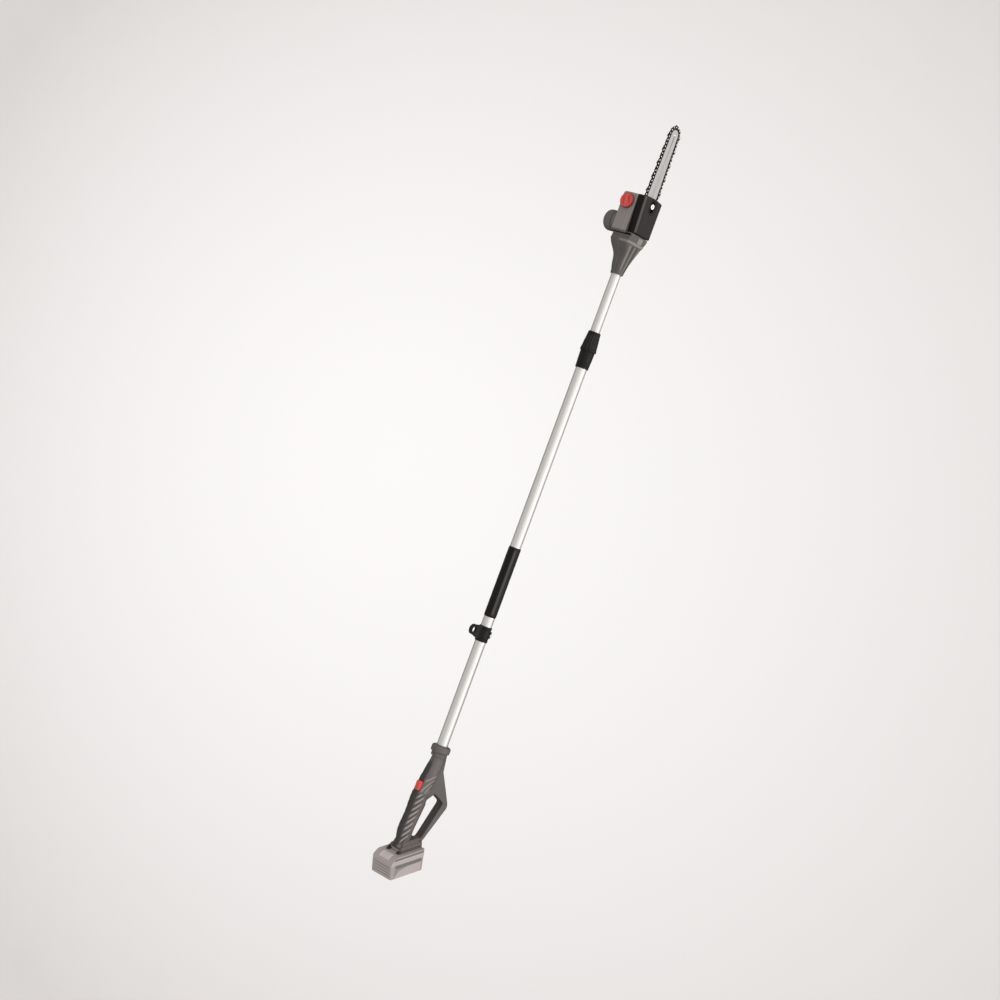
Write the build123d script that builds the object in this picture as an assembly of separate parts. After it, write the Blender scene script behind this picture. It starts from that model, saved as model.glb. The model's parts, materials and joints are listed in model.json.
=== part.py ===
"""Cordless telescoping pole saw: handle, two-piece pole, twist lock, motor head and guide bar.

Lengths are millimetres and angles are degrees.  The model is drawn along the pole, with x = 0 just
ahead of the rear handle, the pole axis on the x axis, +Z away from the hand loop and the chain
cover on the -Y side.  save() then moves each piece so that the origin lies on the pole axis
in the middle of the foam front grip.
"""
from build123d import *
import os
from math import asin, atan2, ceil, cos, degrees, hypot, pi, radians, sin, sqrt

# ---------------------------------------------------------------- driving dimensions
GRIP_START, GRIP_END = 352.0, 548.0          # foam front grip along the pole
ORIGIN_X = (GRIP_START + GRIP_END) / 2       # the frame's origin along the pole

OUTER_R, OUTER_BORE_R = 15.0, 13.5           # outer tube
INNER_R, INNER_BORE_R = 13.0, 11.5           # inner tube
OUTER_TAIL, OUTER_END = -60.0, 1060.0        # outer tube's ends
INNER_TAIL, INNER_END = 482.0, 1346.0        # inner tube's ends
RUN = 0.08                                   # radial running clearance of sliding tubes
GAP = 0.3                                    # gap between bodies that only pass each other

NECK_R = 21.0                                # rear handle's neck
COLLAR_R = 26.0                              # ring round the neck's front
COLLAR_START, COLLAR_END = -30.0, -11.0
SHELL_WALL = 3.0
LOOP_HALF_WIDTH = 12.0
TRIGGER_HALF_WIDTH = 8.0
TRIGGER_PIVOT = (-252.0, 12.0)                # x, z of the trigger's hinge pin
BUTTON_X = -125.0                            # lock-off button
BUTTON_LENGTH, BUTTON_WIDTH = 26.0, 17.0

BATTERY_TILT = 17.65                         # battery leans forward of square to the pole
BATTERY_TOP = (-303.4, 16.7)                 # x, z of the middle of the battery's top face
BATTERY_L, BATTERY_W, BATTERY_H = 120.8, 73.2, 60.5
BATTERY_SPLIT = 22.0                         # case joint below the top face
CELL_R, CELL_LENGTH, CELL_PITCH = 9.1, 65.0, 18.8
TERMINAL_Y = (-9.0, -3.0, 3.0, 9.0)

CLAMP_START, CLAMP_END = 284.0, 326.0        # strap clamp
EYE_X, EYE_Z = 310.6, 47.0                   # strap eye's hole
EYE_HOLE_R, EYE_R, EYE_HALF_WIDTH = 7.0, 14.0, 5.0

NUT_START, NUT_END = 1096.0, 1150.0          # twist lock nut

HEAD_START, HEAD_SHOULDER, HEAD_END = 1311.0, 1421.0, 1524.0
HEAD_TOP, HEAD_BOTTOM = 45.0, -37.5
HEAD_LEFT, HEAD_RIGHT = 34.5, -11.0          # y of the gearbox's side walls
MOTOR_R, MOTOR_CAN_R, MOTOR_END = 28.0, 23.5, 76.0
MOTOR_BACK = 7.0                             # motor axis behind the sprocket axis
CAP_X, CAP_Y, CAP_R = 1499.0, 14.0, 20.5     # oil filler cap
NUT_X = 1506.0                               # bar stud and nut
COVER_FACE, COVER_FLOOR = -36.4, -27.5       # y of the chain cover's face and of the nut's seat
COVER_TOP, COVER_TOP_BACK, COVER_BOTTOM = 43.0, 35.5, -37.0

GEAR_MODULE, PINION_TEETH, GEAR_TEETH = 1.0, 10, 24
CENTRE_DISTANCE = GEAR_MODULE * (PINION_TEETH + GEAR_TEETH) / 2
MOTOR_Z = sqrt(CENTRE_DISTANCE ** 2 - MOTOR_BACK ** 2)
MESH_TILT = -degrees(asin(MOTOR_BACK / CENTRE_DISTANCE))

BAR_Y, BAR_THICKNESS = -20.7, 3.2
NOSE_X = 1701.5
SHOULDER_X = 1505.0                          # where the bar reaches its full width
RIVET_PITCH = 9.525                          # 3/8 inch low profile chain
DRIVE_LINKS = 33
SPROCKET_TEETH, NOSE_TEETH = 6, 7
SPROCKET_PITCH_R = RIVET_PITCH / (2 * sin(pi / (2 * SPROCKET_TEETH)))
NOSE_PITCH_R = RIVET_PITCH / (2 * sin(pi / (2 * NOSE_TEETH)))
SHOULDER_PITCH_Z = 28.0                      # chain's rivet line at the bar's shoulder
RAIL_DEPTH = 3.4                             # bar edge below the rivet line
GROOVE_DEPTH, GROOVE_WIDTH = 7.0, 1.5
TENSION_X, TENSION_Y, TENSION_Z = 1486.0, -15.2, 8.0   # bar tensioner's pin and screw axis


# ---------------------------------------------------------------- helpers
def box(x0, x1, y0, y1, z0, z1):
    return Pos((x0 + x1) / 2, (y0 + y1) / 2, (z0 + z1) / 2) * Box(x1 - x0, y1 - y0, z1 - z0)


def rod_x(r, x0, x1, y=0.0, z=0.0):
    return Pos((x0 + x1) / 2, y, z) * Rot(0, 90, 0) * Cylinder(r, x1 - x0)


def rod_y(r, y0, y1, x=0.0, z=0.0):
    return Pos(x, (y0 + y1) / 2, z) * Rot(90, 0, 0) * Cylinder(r, y1 - y0)


def rod_z(r, z0, z1, x=0.0, y=0.0):
    return Pos(x, y, (z0 + z1) / 2) * Cylinder(r, z1 - z0)


def plate_y(outline, y0, y1):
    """Extrude an outline drawn as (x, z) points or a sketch on the XZ plane from y0 to y1."""
    face = outline if isinstance(outline, (Face, Sketch)) else make_face(Polyline(outline, close=True))
    on_xz = Plane(origin=(0, y1, 0), x_dir=(1, 0, 0), z_dir=(0, -1, 0))
    return extrude(on_xz * face, amount=y1 - y0)


def ellipse_at(x, z, half_height, half_width):
    return Plane(origin=(x, 0, z), x_dir=(0, 1, 0), z_dir=(1, 0, 0)) * Ellipse(half_width, half_height)


def rectangle_at(x, y0, y1, z0, z1, radius):
    plane = Plane(origin=(x, (y0 + y1) / 2, (z0 + z1) / 2), x_dir=(0, 1, 0), z_dir=(1, 0, 0))
    return plane * RectangleRounded(y1 - y0, z1 - z0, radius)


def round_edges(shape, radius, keep=lambda edge: True):
    edges = [edge for edge in shape.edges() if keep(edge)]
    return fillet(edges, radius) if edges else shape


def save(name, *pieces):
    """Write one node, moved to the frame's origin; several pieces stay separate solids."""
    solids = [solid for piece in pieces for solid in piece.solids()]
    moved = [Pos(-ORIGIN_X, 0, 0) * solid for solid in solids]
    export_step(moved[0] if len(moved) == 1 else Compound(children=moved), f"parts/{name}.step")


# ---------------------------------------------------------------- rear handle
GRIP_SECTIONS = (                            # x, centre z, half height, half width
    (-30.0, 0.0, NECK_R, NECK_R),
    (-66.0, 0.0, 21.0, 19.0),
    (-91.0, 5.0, 22.0, 20.0),
    (-109.0, 9.0, 22.5, 20.0),
    (-142.0, 15.0, 23.0, 21.0),
    (-183.0, 17.5, 22.0, 20.5),
    (-223.0, 21.0, 21.0, 19.5),
    (-262.0, 21.5, 21.0, 19.0),
    (-296.0, 21.5, 22.5, 20.5),
)
LOOP_OUTLINE = ((-31, 0), (-31, -23), (-53, -28), (-78, -33.5), (-123, -68.5), (-171, -105), (-272, -50),
                (-300, -35),
                (-300, 10), (-150, 10))
HAND_OPENING = ((-161, 6), (-159, -8), (-141, -31), (-163.5, -78), (-266, -38.5), (-269, 6))

battery_plane = Plane(
    origin=(BATTERY_TOP[0], 0, BATTERY_TOP[1]),
    x_dir=(sin(radians(BATTERY_TILT)), 0, -cos(radians(BATTERY_TILT))),
    z_dir=(cos(radians(BATTERY_TILT)), 0, sin(radians(BATTERY_TILT))),
)


def on_battery(shape):
    """Place a shape drawn with x along the battery's slide and z along its height."""
    return battery_plane.location * shape


def grip_loft(inset):
    faces = [ellipse_at(x, z, a - inset, b - inset) for x, z, a, b in GRIP_SECTIONS]
    return loft(faces)


def loop_plate():
    """The D-shaped web and loop below the grip, with rounded edges and the hand opening."""
    solid = plate_y(LOOP_OUTLINE, -LOOP_HALF_WIDTH, LOOP_HALF_WIDTH)
    corners = [e for e in solid.edges().filter_by(Axis.Y)
               if e.center().Z < -60]
    solid = fillet(corners, 20)
    opening = plate_y(HAND_OPENING, -LOOP_HALF_WIDTH - 1, LOOP_HALF_WIDTH + 1)
    corners = [e for e in opening.edges().filter_by(Axis.Y) if e.center().Z < -20]
    opening = fillet(corners, 8)
    solid = solid - opening
    rims = [e for e in solid.edges() if abs(abs(e.center().Y) - LOOP_HALF_WIDTH) < 0.01 and e.center().Z < -4]
    return fillet(rims, 4)


def shoe_body():
    """Outer form of the battery shoe, drawn on the battery plane."""
    base = loft([Plane.XY.offset(GAP) * Pos(15.5, 0) * RectangleRounded(93, 48, 5),
                 Plane.XY.offset(15) * Pos(23, 0) * RectangleRounded(76, 46, 5)])
    top = loft([Plane.XY.offset(15) * Pos(22, 0) * RectangleRounded(70, 42, 6),
                Plane.XY.offset(27) * Pos(18, 0) * RectangleRounded(52, 36, 6)])
    return base + top


def rail(clearance):
    """The battery's T-shaped rail, or with a clearance the channel that holds it."""
    c = clearance
    stem = box(-18 - c, 50 + c, -13 - c, 13 + c, -1, 5)
    flange = box(-18 - c, 50 + c, -18 - c, 18 + c, 4 - c, 9 + c)
    return stem + flange


def battery_shoe():
    channel = rail(GAP) + Pos(-30, 0, 0) * rail(GAP)
    blades = [box(20, 40, y - 1.2, y + 1.2, 9, 16) for y in TERMINAL_Y]
    wires = box(8, 24, -12, 12, 16, 28)
    return on_battery(shoe_body() - channel - blades - wires)


def shoe_terminals():
    return [on_battery(box(22, 38, y - 0.5, y + 0.5, 9.6, 15.6)) for y in TERMINAL_Y]


def screw_places():
    """x, z of the screws that close the two handle shells."""
    return ((-76, -12), (-112, -40), (-171, -90), (-238, -58), (-150, -2), (-270, 29))


def handle_screw(x, z):
    return rod_y(1.75, -8, 10, x, z) + rod_y(3.4, 10, 12.5, x, z)


def trigger_body():
    """Paddle lever along the inside of the grip."""
    px, pz = TRIGGER_PIVOT
    outline = ((px - 5, pz + 4), (px - 5, 2), (-240, -3), (-200, -9), (-172, -13), (-163, -8), (-164, 8),
               (-180, 9), (px + 6, pz + 5))
    paddle = plate_y(outline, -TRIGGER_HALF_WIDTH, TRIGGER_HALF_WIDTH)
    return round_edges(paddle, 2.5, lambda e: e.center().Z < -4 and abs(e.center().Y) > 7.9)


def trigger_room():
    """Space inside the shells that the trigger sweeps as it is squeezed."""
    px, pz = TRIGGER_PIVOT
    outline = ((px - 8, pz + 8), (px - 8, -30), (-159, -30), (-159, 25), (-185, 25), (px + 8, pz + 10))
    half = TRIGGER_HALF_WIDTH + 0.5
    return plate_y(outline, -half, half)


def lock_off_button():
    head = box(BUTTON_X - BUTTON_LENGTH / 2, BUTTON_X + BUTTON_LENGTH / 2, -BUTTON_WIDTH / 2, BUTTON_WIDTH / 2,
               28, 42)
    head = round_edges(head, 4, lambda e: e.center().Z > 34)
    return head + rod_z(2.5, 20, 28, BUTTON_X)


def button_room():
    half_l, half_w = BUTTON_LENGTH / 2 + 0.4, BUTTON_WIDTH / 2 + 0.4
    return box(BUTTON_X - half_l, BUTTON_X + half_l, -half_w, half_w, 23, 50)


def handle_shells():
    outer = grip_loft(0) + loop_plate() + rod_x(NECK_R, -40, COLLAR_END - 2) + rod_x(18, -40, COLLAR_END + 2)
    ring = round_edges(rod_x(COLLAR_R, COLLAR_START, COLLAR_END), 5)
    outer = outer + ring
    cavity = grip_loft(SHELL_WALL) & box(-292, -64, -30, 30, -30, 50)
    solid = outer - cavity - rod_x(OUTER_R, OUTER_TAIL, 5)
    bosses = [rod_y(5, -30, 30, x, z) for x, z in screw_places() if z > -20]
    solid = solid + [boss & outer for boss in bosses]
    below = on_battery(box(-120, 120, -60, 60, -60, GAP))
    holes = [handle_screw(x, z) + rod_y(3.4, 12.5, 30, x, z) for x, z in screw_places()]
    solid = solid - below - on_battery(shoe_body()) - trigger_room() - button_room() - holes
    pin = rod_y(2.0, -14.8, 14.8, *TRIGGER_PIVOT)
    solid = solid - pin - box(OUTER_TAIL - 12, -60, -13, 13, -13, 13)
    left = solid & box(-400, 20, 0, 60, -130, 80)
    right = solid & box(-400, 20, -60, 0, -130, 80)
    return left, right


def trigger_spring():
    """Return spring between the trigger and the switch: a plain sleeve in place of its coils."""
    return rod_z(3.2, 9.4, 23.8, -179) - rod_z(2.2, 9, 24, -179)


def build_handle():
    left, right = handle_shells()
    save("handle_shell_left", left)
    save("handle_shell_right", right)
    save("battery_shoe", battery_shoe())
    save("shoe_terminals", *shoe_terminals())
    save("handle_screws", *[handle_screw(x, z) for x, z in screw_places()])
    px, pz = TRIGGER_PIVOT
    save("trigger", trigger_body() - rod_y(2.05, -20, 20, px, pz))
    save("trigger_pin", rod_y(1.95, -14.6, 14.6, px, pz))
    save("trigger_spring", trigger_spring())
    save("lock_off_button", lock_off_button())
    save("lock_off_spring", rod_z(4.5, 21, 27.6, BUTTON_X) - rod_z(3.2, 20, 28, BUTTON_X))
    save("power_switch", box(-198, -172, -7, 7, 24, 34) + rod_z(2, 22, 25, -190))
    save("control_board", box(-262, -214, -11, 11, 30, 31.6))


# ---------------------------------------------------------------- battery
def battery_form():
    """Outer form of the battery: a block with a rounded slope at its release end."""
    half = BATTERY_L / 2
    outline = make_face(
        Polyline((-half - 3.5, -20), (-half, -BATTERY_H), (half, -BATTERY_H), (half, 0), (-36, 0))
        + ThreePointArc((-36, 0), (-54.5, -6.5), (-half - 3.5, -20))
    )
    solid = plate_y(outline, -BATTERY_W / 2, BATTERY_W / 2)
    corners = [e for e in solid.edges() if e.length > 35 and abs(e.center().X) > half - 1]
    return fillet([e for e in corners if abs(e.center().Y) > 30], 6)


def battery_cavity():
    half = BATTERY_L / 2 - 2.5
    return box(-half + 8, half, -BATTERY_W / 2 + 2.5, BATTERY_W / 2 - 2.5, -BATTERY_H + 2.5, -12)


def latch_region(grow):
    return box(-58 - grow, -40 + grow, -17 - grow, 17 + grow, -16, 2)


def cell_centres():
    return [(column * CELL_PITCH, level) for column in (-2, -1, 0, 1, 2) for level in (-48.6, -29.6)]


def build_battery():
    form = battery_form()
    shell = form - battery_cavity() - latch_region(0.4)
    slots = [box(18, 51, y - 1.2, y + 1.2, 1, 10) for y in TERMINAL_Y]
    under = box(-80, 80, -60, 60, -80, -BATTERY_SPLIT)
    above = box(-80, 80, -60, 60, -BATTERY_SPLIT, 20)
    screws = [rod_z(1.75, -BATTERY_H + 1, -14, x, y) + rod_z(3.4, -BATTERY_H, -BATTERY_H + 2.4, x, y)
              for x in (-52.6, 53.5) for y in (-29, 29)]
    bosses = [rod_z(4.0, -BATTERY_H + 2.5, -12, x, y) for x in (-52.6, 53.5) for y in (-29, 29)]
    shell = shell + bosses - screws
    upper = (shell & above) + (rail(0) - slots & box(-80, 80, -60, 60, 0, 20))
    button = Pos(-0.6, 0, 0.6) * form & latch_region(0) & box(-80, 0, -40, 40, -11, 20)
    save("battery_case_lower", on_battery(shell & under))
    save("battery_case_upper", on_battery(upper))
    save("battery_cells", *[on_battery(rod_y(CELL_R, -CELL_LENGTH / 2, CELL_LENGTH / 2, x, z))
                            for x, z in cell_centres()])
    save("battery_board", on_battery(box(-34, 44, -22, 22, -16.6, -15)))
    save("battery_terminals", *[on_battery(box(20, 50, y - 0.3, y + 0.3, 1.2, 8.6)) for y in TERMINAL_Y])
    save("battery_screws", *[on_battery(screw) for screw in screws])
    save("latch_button", on_battery(button))
    save("latch_spring", on_battery(rod_z(3.5, -15.8, -11.2, -47) - rod_z(2.4, -16, -11, -47)))


# ---------------------------------------------------------------- pole
def strap_clamp():
    band = rod_x(17.2, CLAMP_START, CLAMP_END)
    ear = rod_y(EYE_R, -EYE_HALF_WIDTH, EYE_HALF_WIDTH, EYE_X, EYE_Z)
    root = plate_y(((EYE_X - 24, 14), (EYE_X - EYE_R + 1, EYE_Z), (EYE_X + EYE_R - 1, EYE_Z), (EYE_X + 15, 14)),
                   -EYE_HALF_WIDTH, EYE_HALF_WIDTH)
    lugs = box(CLAMP_START + 12, CLAMP_END - 12, -5.5, 5.5, -27, -15)
    solid = band + ear + root + lugs
    slit = box(CLAMP_START - 1, CLAMP_END + 1, -1, 1, -40, -10)
    screw_room = rod_y(2.1, -10, 10, (CLAMP_START + CLAMP_END) / 2, -21.5)
    bore = rod_x(OUTER_R + RUN, CLAMP_START - 1, CLAMP_END + 1)
    return solid - bore - slit - screw_room - rod_y(EYE_HOLE_R, -10, 10, EYE_X, EYE_Z)


def clamp_screw():
    x = (CLAMP_START + CLAMP_END) / 2
    return rod_y(2.0, -5.5, 9.5, x, -21.5) + rod_y(3.6, -9, -5.5, x, -21.5)


def knurl_flats(radius, depth, count, x0, x1):
    """Grooves along a grip ring, evenly spaced round it."""
    groove = rod_x(depth * 2, x0, x1, 0, radius + depth)
    return [Rot(360 * i / count, 0, 0) * groove for i in range(count)]


def twist_lock_nut():
    ring = Cone(22, 16.5, NUT_END - NUT_START - 6)
    ring = Pos((NUT_START + 6 + NUT_END) / 2, 0, 0) * Rot(0, 90, 0) * ring
    rim = rod_x(22, NUT_START, NUT_START + 6)
    solid = rim + ring - knurl_flats(22, 1.6, 12, NUT_START - 1, NUT_START + 34)
    return solid - rod_x(18.3, NUT_START - 1, 1124) - rod_x(INNER_R + GAP, 1100, NUT_END + 1)


def lock_base():
    base = Cone(18, 19.6, 46)
    solid = Pos(1072, 0, 0) * Rot(0, 90, 0) * base
    solid = solid + rod_x(18, 1095, 1120)
    solid = solid - knurl_flats(19.8, 1.0, 12, 1048, 1090)
    solid = solid - rod_x(OUTER_R, 1040, OUTER_END) - rod_x(15.6, OUTER_END, 1121)
    return solid


def lock_collet():
    """Split gripping sleeve between the base and the inner tube."""
    ring = rod_x(15.5, OUTER_END, 1119) - rod_x(INNER_R + RUN, OUTER_END - 1, 1120)
    slits = [Rot(90 * i, 0, 0) * box(1080, 1121, -0.8, 0.8, 10, 20) for i in range(4)]
    return ring - slits


def build_pole():
    save("outer_tube", rod_x(OUTER_R, OUTER_TAIL, OUTER_END) - rod_x(OUTER_BORE_R, OUTER_TAIL - 1, OUTER_END + 1))
    grip = round_edges(rod_x(16.8, GRIP_START, GRIP_END), 1.4)
    save("foam_grip", grip - rod_x(OUTER_R, GRIP_START - 1, GRIP_END + 1))
    save("strap_clamp", strap_clamp())
    save("strap_clamp_screw", clamp_screw())
    save("lock_base", lock_base())
    save("lock_nut", twist_lock_nut())
    save("lock_collet", lock_collet())
    save("inner_tube", rod_x(INNER_R, INNER_TAIL, INNER_END) - rod_x(INNER_BORE_R, INNER_TAIL - 1, INNER_END + 1))
    bush = rod_x(OUTER_BORE_R - RUN, INNER_TAIL - 6, INNER_TAIL + 26)
    save("guide_bush", bush - rod_x(INNER_R, INNER_TAIL, INNER_TAIL + 30) - rod_x(INNER_BORE_R, 470, 520))
    save("coiled_power_cable", rod_x(6.0, -56, 1352))


# ---------------------------------------------------------------- head housing
HEAD_SECTIONS = (                            # x, y0, y1, z0, z1, corner radius
    (1311.0, -17.0, 17.0, -17.0, 17.0, 16.7),
    (1330.0, -18.5, 18.5, -18.5, 18.5, 15.0),
    (1350.0, -21.5, 20.5, -20.8, 20.5, 13.0),
    (1367.0, -24.5, 23.5, -24.0, 25.5, 11.0),
    (1385.0, -28.0, 28.0, -28.3, 39.0, 9.0),
    (1402.0, -31.5, 31.0, -33.5, 42.0, 8.0),
    (1421.0, -34.0, 33.5, -36.9, 44.5, 7.0),
)


def head_loft(inset, start):
    faces = [rectangle_at(x, y0 + inset, y1 - inset, z0 + inset, z1 - inset, max(r - inset, 1.5))
             for x, y0, y1, z0, z1, r in HEAD_SECTIONS if x >= start]
    return loft(faces)


def gearbox_form():
    block = box(HEAD_SHOULDER - 4, HEAD_END, HEAD_RIGHT, HEAD_LEFT, HEAD_BOTTOM, HEAD_TOP)
    return round_edges(block, 6, lambda e: e.center().X > HEAD_END - 1 and e.center().Y > HEAD_RIGHT + 1)


def bar_pad():
    """Raised pad that the guide bar clamps against, with the tensioner's channel."""
    pad = box(1478, HEAD_END - 3, BAR_Y + BAR_THICKNESS / 2, HEAD_RIGHT, -12, 15)
    channel = box(1481, 1500, -30, -11.5, TENSION_Z - 4.5, TENSION_Z + 4.5)
    return pad - channel - rod_x(2.4, 1476, HEAD_END + 3, TENSION_Y, TENSION_Z)


def head_screw_places():
    return ((1340, -16.5), (1400, -27.0), (1400, 36.0), (1518, -31.5), (1518, 39.0))


def head_screw(x, z):
    return rod_y(1.75, -9, 11, x, z) + rod_y(3.4, 11, 13.5, x, z)


def head_shells(sprocket_x):
    outer = head_loft(0, HEAD_START) + gearbox_form()
    motor_x = sprocket_x - MOTOR_BACK
    motor_seat = rod_y(MOTOR_R, 8, HEAD_LEFT, motor_x, MOTOR_Z)
    cavity = head_loft(SHELL_WALL, 1350) & box(1352, HEAD_SHOULDER - 1, -40, 40, -40, 50)
    cavity = cavity + box(HEAD_SHOULDER - 3, HEAD_END - 3, HEAD_RIGHT + 3, HEAD_LEFT - 3, HEAD_BOTTOM + 3,
                          HEAD_TOP - 3)
    posts = [rod_y(5.0, -40, 40, x, z) & outer for x, z in head_screw_places()[1:]]
    solid = outer + motor_seat - cavity + posts + bar_pad()
    solid = solid - rod_x(INNER_R, HEAD_START - 1, INNER_END)
    solid = solid - rod_x(INNER_BORE_R, INNER_END, 1353)
    holes = [head_screw(x, z) + rod_y(3.4, 13.5, 50, x, z) for x, z in head_screw_places()]
    motor_hole = rod_y(MOTOR_CAN_R + 0.5, 0.5, 60, motor_x, MOTOR_Z)
    shaft_hole = rod_y(11, HEAD_RIGHT - 0.1, -4, sprocket_x, 0)
    stud_hole = rod_y(4, -20, 0, NUT_X, 0)
    filler = rod_z(14.6, 30, 60, CAP_X, CAP_Y)
    solid = solid - holes - motor_hole - shaft_hole - stud_hole - filler
    bearing_boss = rod_y(13.5, HEAD_RIGHT, -4, sprocket_x, 0) - rod_y(11, HEAD_RIGHT - 1, -3, sprocket_x, 0)
    solid = solid + bearing_boss
    left = solid & box(1300, 1540, 0, 80, -60, 80)
    right = solid & box(1300, 1540, -60, 0, -60, 80)
    return left, right


def motor_cover(motor_x):
    """Bell over the outer end of the motor."""
    bell = rod_y(MOTOR_R, HEAD_LEFT, MOTOR_END, motor_x, MOTOR_Z)
    bell = round_edges(bell, 11, lambda e: e.center().Y > MOTOR_END - 1)
    room = rod_y(MOTOR_CAN_R + 0.5, HEAD_LEFT - 1, MOTOR_END - 9, motor_x, MOTOR_Z)
    return bell - room


def motor_can(motor_x):
    can = rod_y(MOTOR_CAN_R, 15.5, 65, motor_x, MOTOR_Z)
    room = rod_y(MOTOR_CAN_R - 2, 17.5, 63, motor_x, MOTOR_Z)
    return can - room - rod_y(2.55, 10, 70, motor_x, MOTOR_Z)


def motor_rotor(motor_x):
    armature = rod_y(18, 23, 49, motor_x, MOTOR_Z)
    slots = [Pos(motor_x, 0, MOTOR_Z) * Rot(0, 36 * i, 0) * box(-1.2, 1.2, 22, 50, 15, 20) for i in range(10)]
    return armature - slots + rod_y(2.5, -6, 66, motor_x, MOTOR_Z) + rod_y(8, 51, 59, motor_x, MOTOR_Z)


def spur(teeth, y0, y1, x, z, bore, turn):
    """Spur gear with straight-flanked teeth that narrow towards their tips."""
    pitch_r = GEAR_MODULE * teeth / 2
    root_r = pitch_r - 1.15 * GEAR_MODULE
    tip_r = pitch_r + 0.85 * GEAR_MODULE
    body = rod_y(root_r, y0, y1)
    half_root, half_tip = 0.82 * GEAR_MODULE, 0.34 * GEAR_MODULE
    tooth = plate_y(((-half_root, root_r - 0.6), (half_root, root_r - 0.6), (half_tip, tip_r), (-half_tip, tip_r)),
                    y0, y1)
    for i in range(teeth):
        body = body + Rot(0, 360 * i / teeth, 0) * tooth
    return Pos(x, 0, z) * Rot(0, turn, 0) * (body - rod_y(bore, y0 - 1, y1 + 1))


def gearbox_plate(sprocket_x):
    """Steel plate that carries the shaft's rear bearing and the motor's front face."""
    plate = box(sprocket_x - 28, sprocket_x + 21, 12, 15.4, -20, 39)
    plate = round_edges(plate, 6, lambda e: abs(e.center().Y - 13.7) < 0.1)
    collar = rod_y(11, 8, 12, sprocket_x, 0)
    bearing = rod_y(9, 7, 13.5, sprocket_x, 0)
    motor_hole = rod_y(8, 5, 20, sprocket_x - MOTOR_BACK, MOTOR_Z)
    return plate + collar - bearing - rod_y(4.6, 5, 20, sprocket_x, 0) - motor_hole


def ball_bearing(r_out, r_in, y0, y1, x):
    return rod_y(r_out, y0, y1, x, 0) - rod_y(r_in, y0 - 1, y1 + 1, x, 0)


def oil_tank():
    body = box(1476, 1519, -5.5, 30.5, -33, 40.5)
    body = round_edges(body, 3)
    body = body + rod_z(14.3, 38, 47, CAP_X, CAP_Y)
    room = box(1478, 1517, -3.5, 28.5, -31, 38.5)
    corners = [rod_y(5.6, -6, 31, 1518, z) for z in (-31.5, 39)]
    return body - room - rod_z(12.9, 30, 48, CAP_X, CAP_Y) - corners


def oil_cap():
    top = round_edges(rod_z(CAP_R, HEAD_TOP + 0.4, 53, CAP_X, CAP_Y), 2.5, lambda e: e.center().Z > 50)
    hollow = rod_z(17, HEAD_TOP, 48.4, CAP_X, CAP_Y)
    plug = rod_z(12.4, 40, 48.6, CAP_X, CAP_Y)
    bar = box(CAP_X - 15, CAP_X + 15, CAP_Y - 2.5, CAP_Y + 2.5, 52.5, 54.5)
    return top - hollow + plug + bar


def oil_pump():
    body = box(1464.5, 1474.5, -6.5, 7, -26, -14)
    return body + rod_x(2, 1460.5, 1464.5, -4, -20)


def bar_stud():
    return rod_y(3.9, COVER_FACE + 1.9, -6.2, NUT_X, 0) + rod_y(6.5, -7.8, -6.2, NUT_X, 0)


def bar_nut():
    hexagon = Plane(origin=(NUT_X, COVER_FLOOR - 1, 0), x_dir=(1, 0, 0), z_dir=(0, -1, 0)) * RegularPolygon(7.5, 6)
    flange = rod_y(8.2, COVER_FLOOR - 1.2, COVER_FLOOR, NUT_X, 0)
    return extrude(hexagon, amount=7.5) + flange - rod_y(3.95, -40, -20, NUT_X, 0)


def tension_screw():
    shank = rod_x(1.9, TENSION_X - 4, HEAD_END + 0.6, TENSION_Y, TENSION_Z)
    head = rod_x(3.2, HEAD_END + 0.6, HEAD_END + 4, TENSION_Y, TENSION_Z)
    slot = box(HEAD_END + 2.5, HEAD_END + 5, TENSION_Y - 4, TENSION_Y + 4, TENSION_Z - 0.5, TENSION_Z + 0.5)
    return shank + head - slot


def cover_outline():
    left, right = 1421.6, 1524.0
    return make_face(
        Line((left + 1.5, COVER_TOP_BACK), (right, COVER_TOP))
        + ThreePointArc((right, COVER_TOP), (right + 3.5, 0), (right, COVER_BOTTOM))
        + Line((right, COVER_BOTTOM), (left + 1.5, COVER_BOTTOM))
        + ThreePointArc((left + 1.5, COVER_BOTTOM), (left, 0), (left + 1.5, COVER_TOP_BACK))
    )


def sprocket_cover():
    inside = COVER_FACE + 2.7
    outer = plate_y(cover_outline(), COVER_FACE, HEAD_RIGHT - 0.2)
    outer = fillet([e for e in outer.edges() if e.center().Y < COVER_FACE + 0.1], 5)
    floor_z = COVER_BOTTOM + 2.4
    room = plate_y(((1425.4, floor_z), (1425.4, COVER_TOP_BACK - 2.7), (1529, COVER_TOP - 2.7), (1529, floor_z)),
                   inside, HEAD_RIGHT)
    exit_wall = box(1521.5, 1529, inside, HEAD_RIGHT, floor_z, COVER_TOP - 3) & outer
    bar_slot = box(1515, 1535, -25.5, HEAD_RIGHT, floor_z, -floor_z)
    pad = box(1486.5, 1521.5, inside, BAR_Y - BAR_THICKNESS / 2 - 0.1, -13, 13)
    nut_room = box(NUT_X - 17, NUT_X + 13, -40, COVER_FLOOR, -9.5, 9.5)
    nut_room = fillet(nut_room.edges().filter_by(Axis.Y), 9)
    solid = outer - room + exit_wall - bar_slot + pad
    return solid - nut_room - rod_y(4.3, -40, -10, NUT_X, 0)


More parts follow.
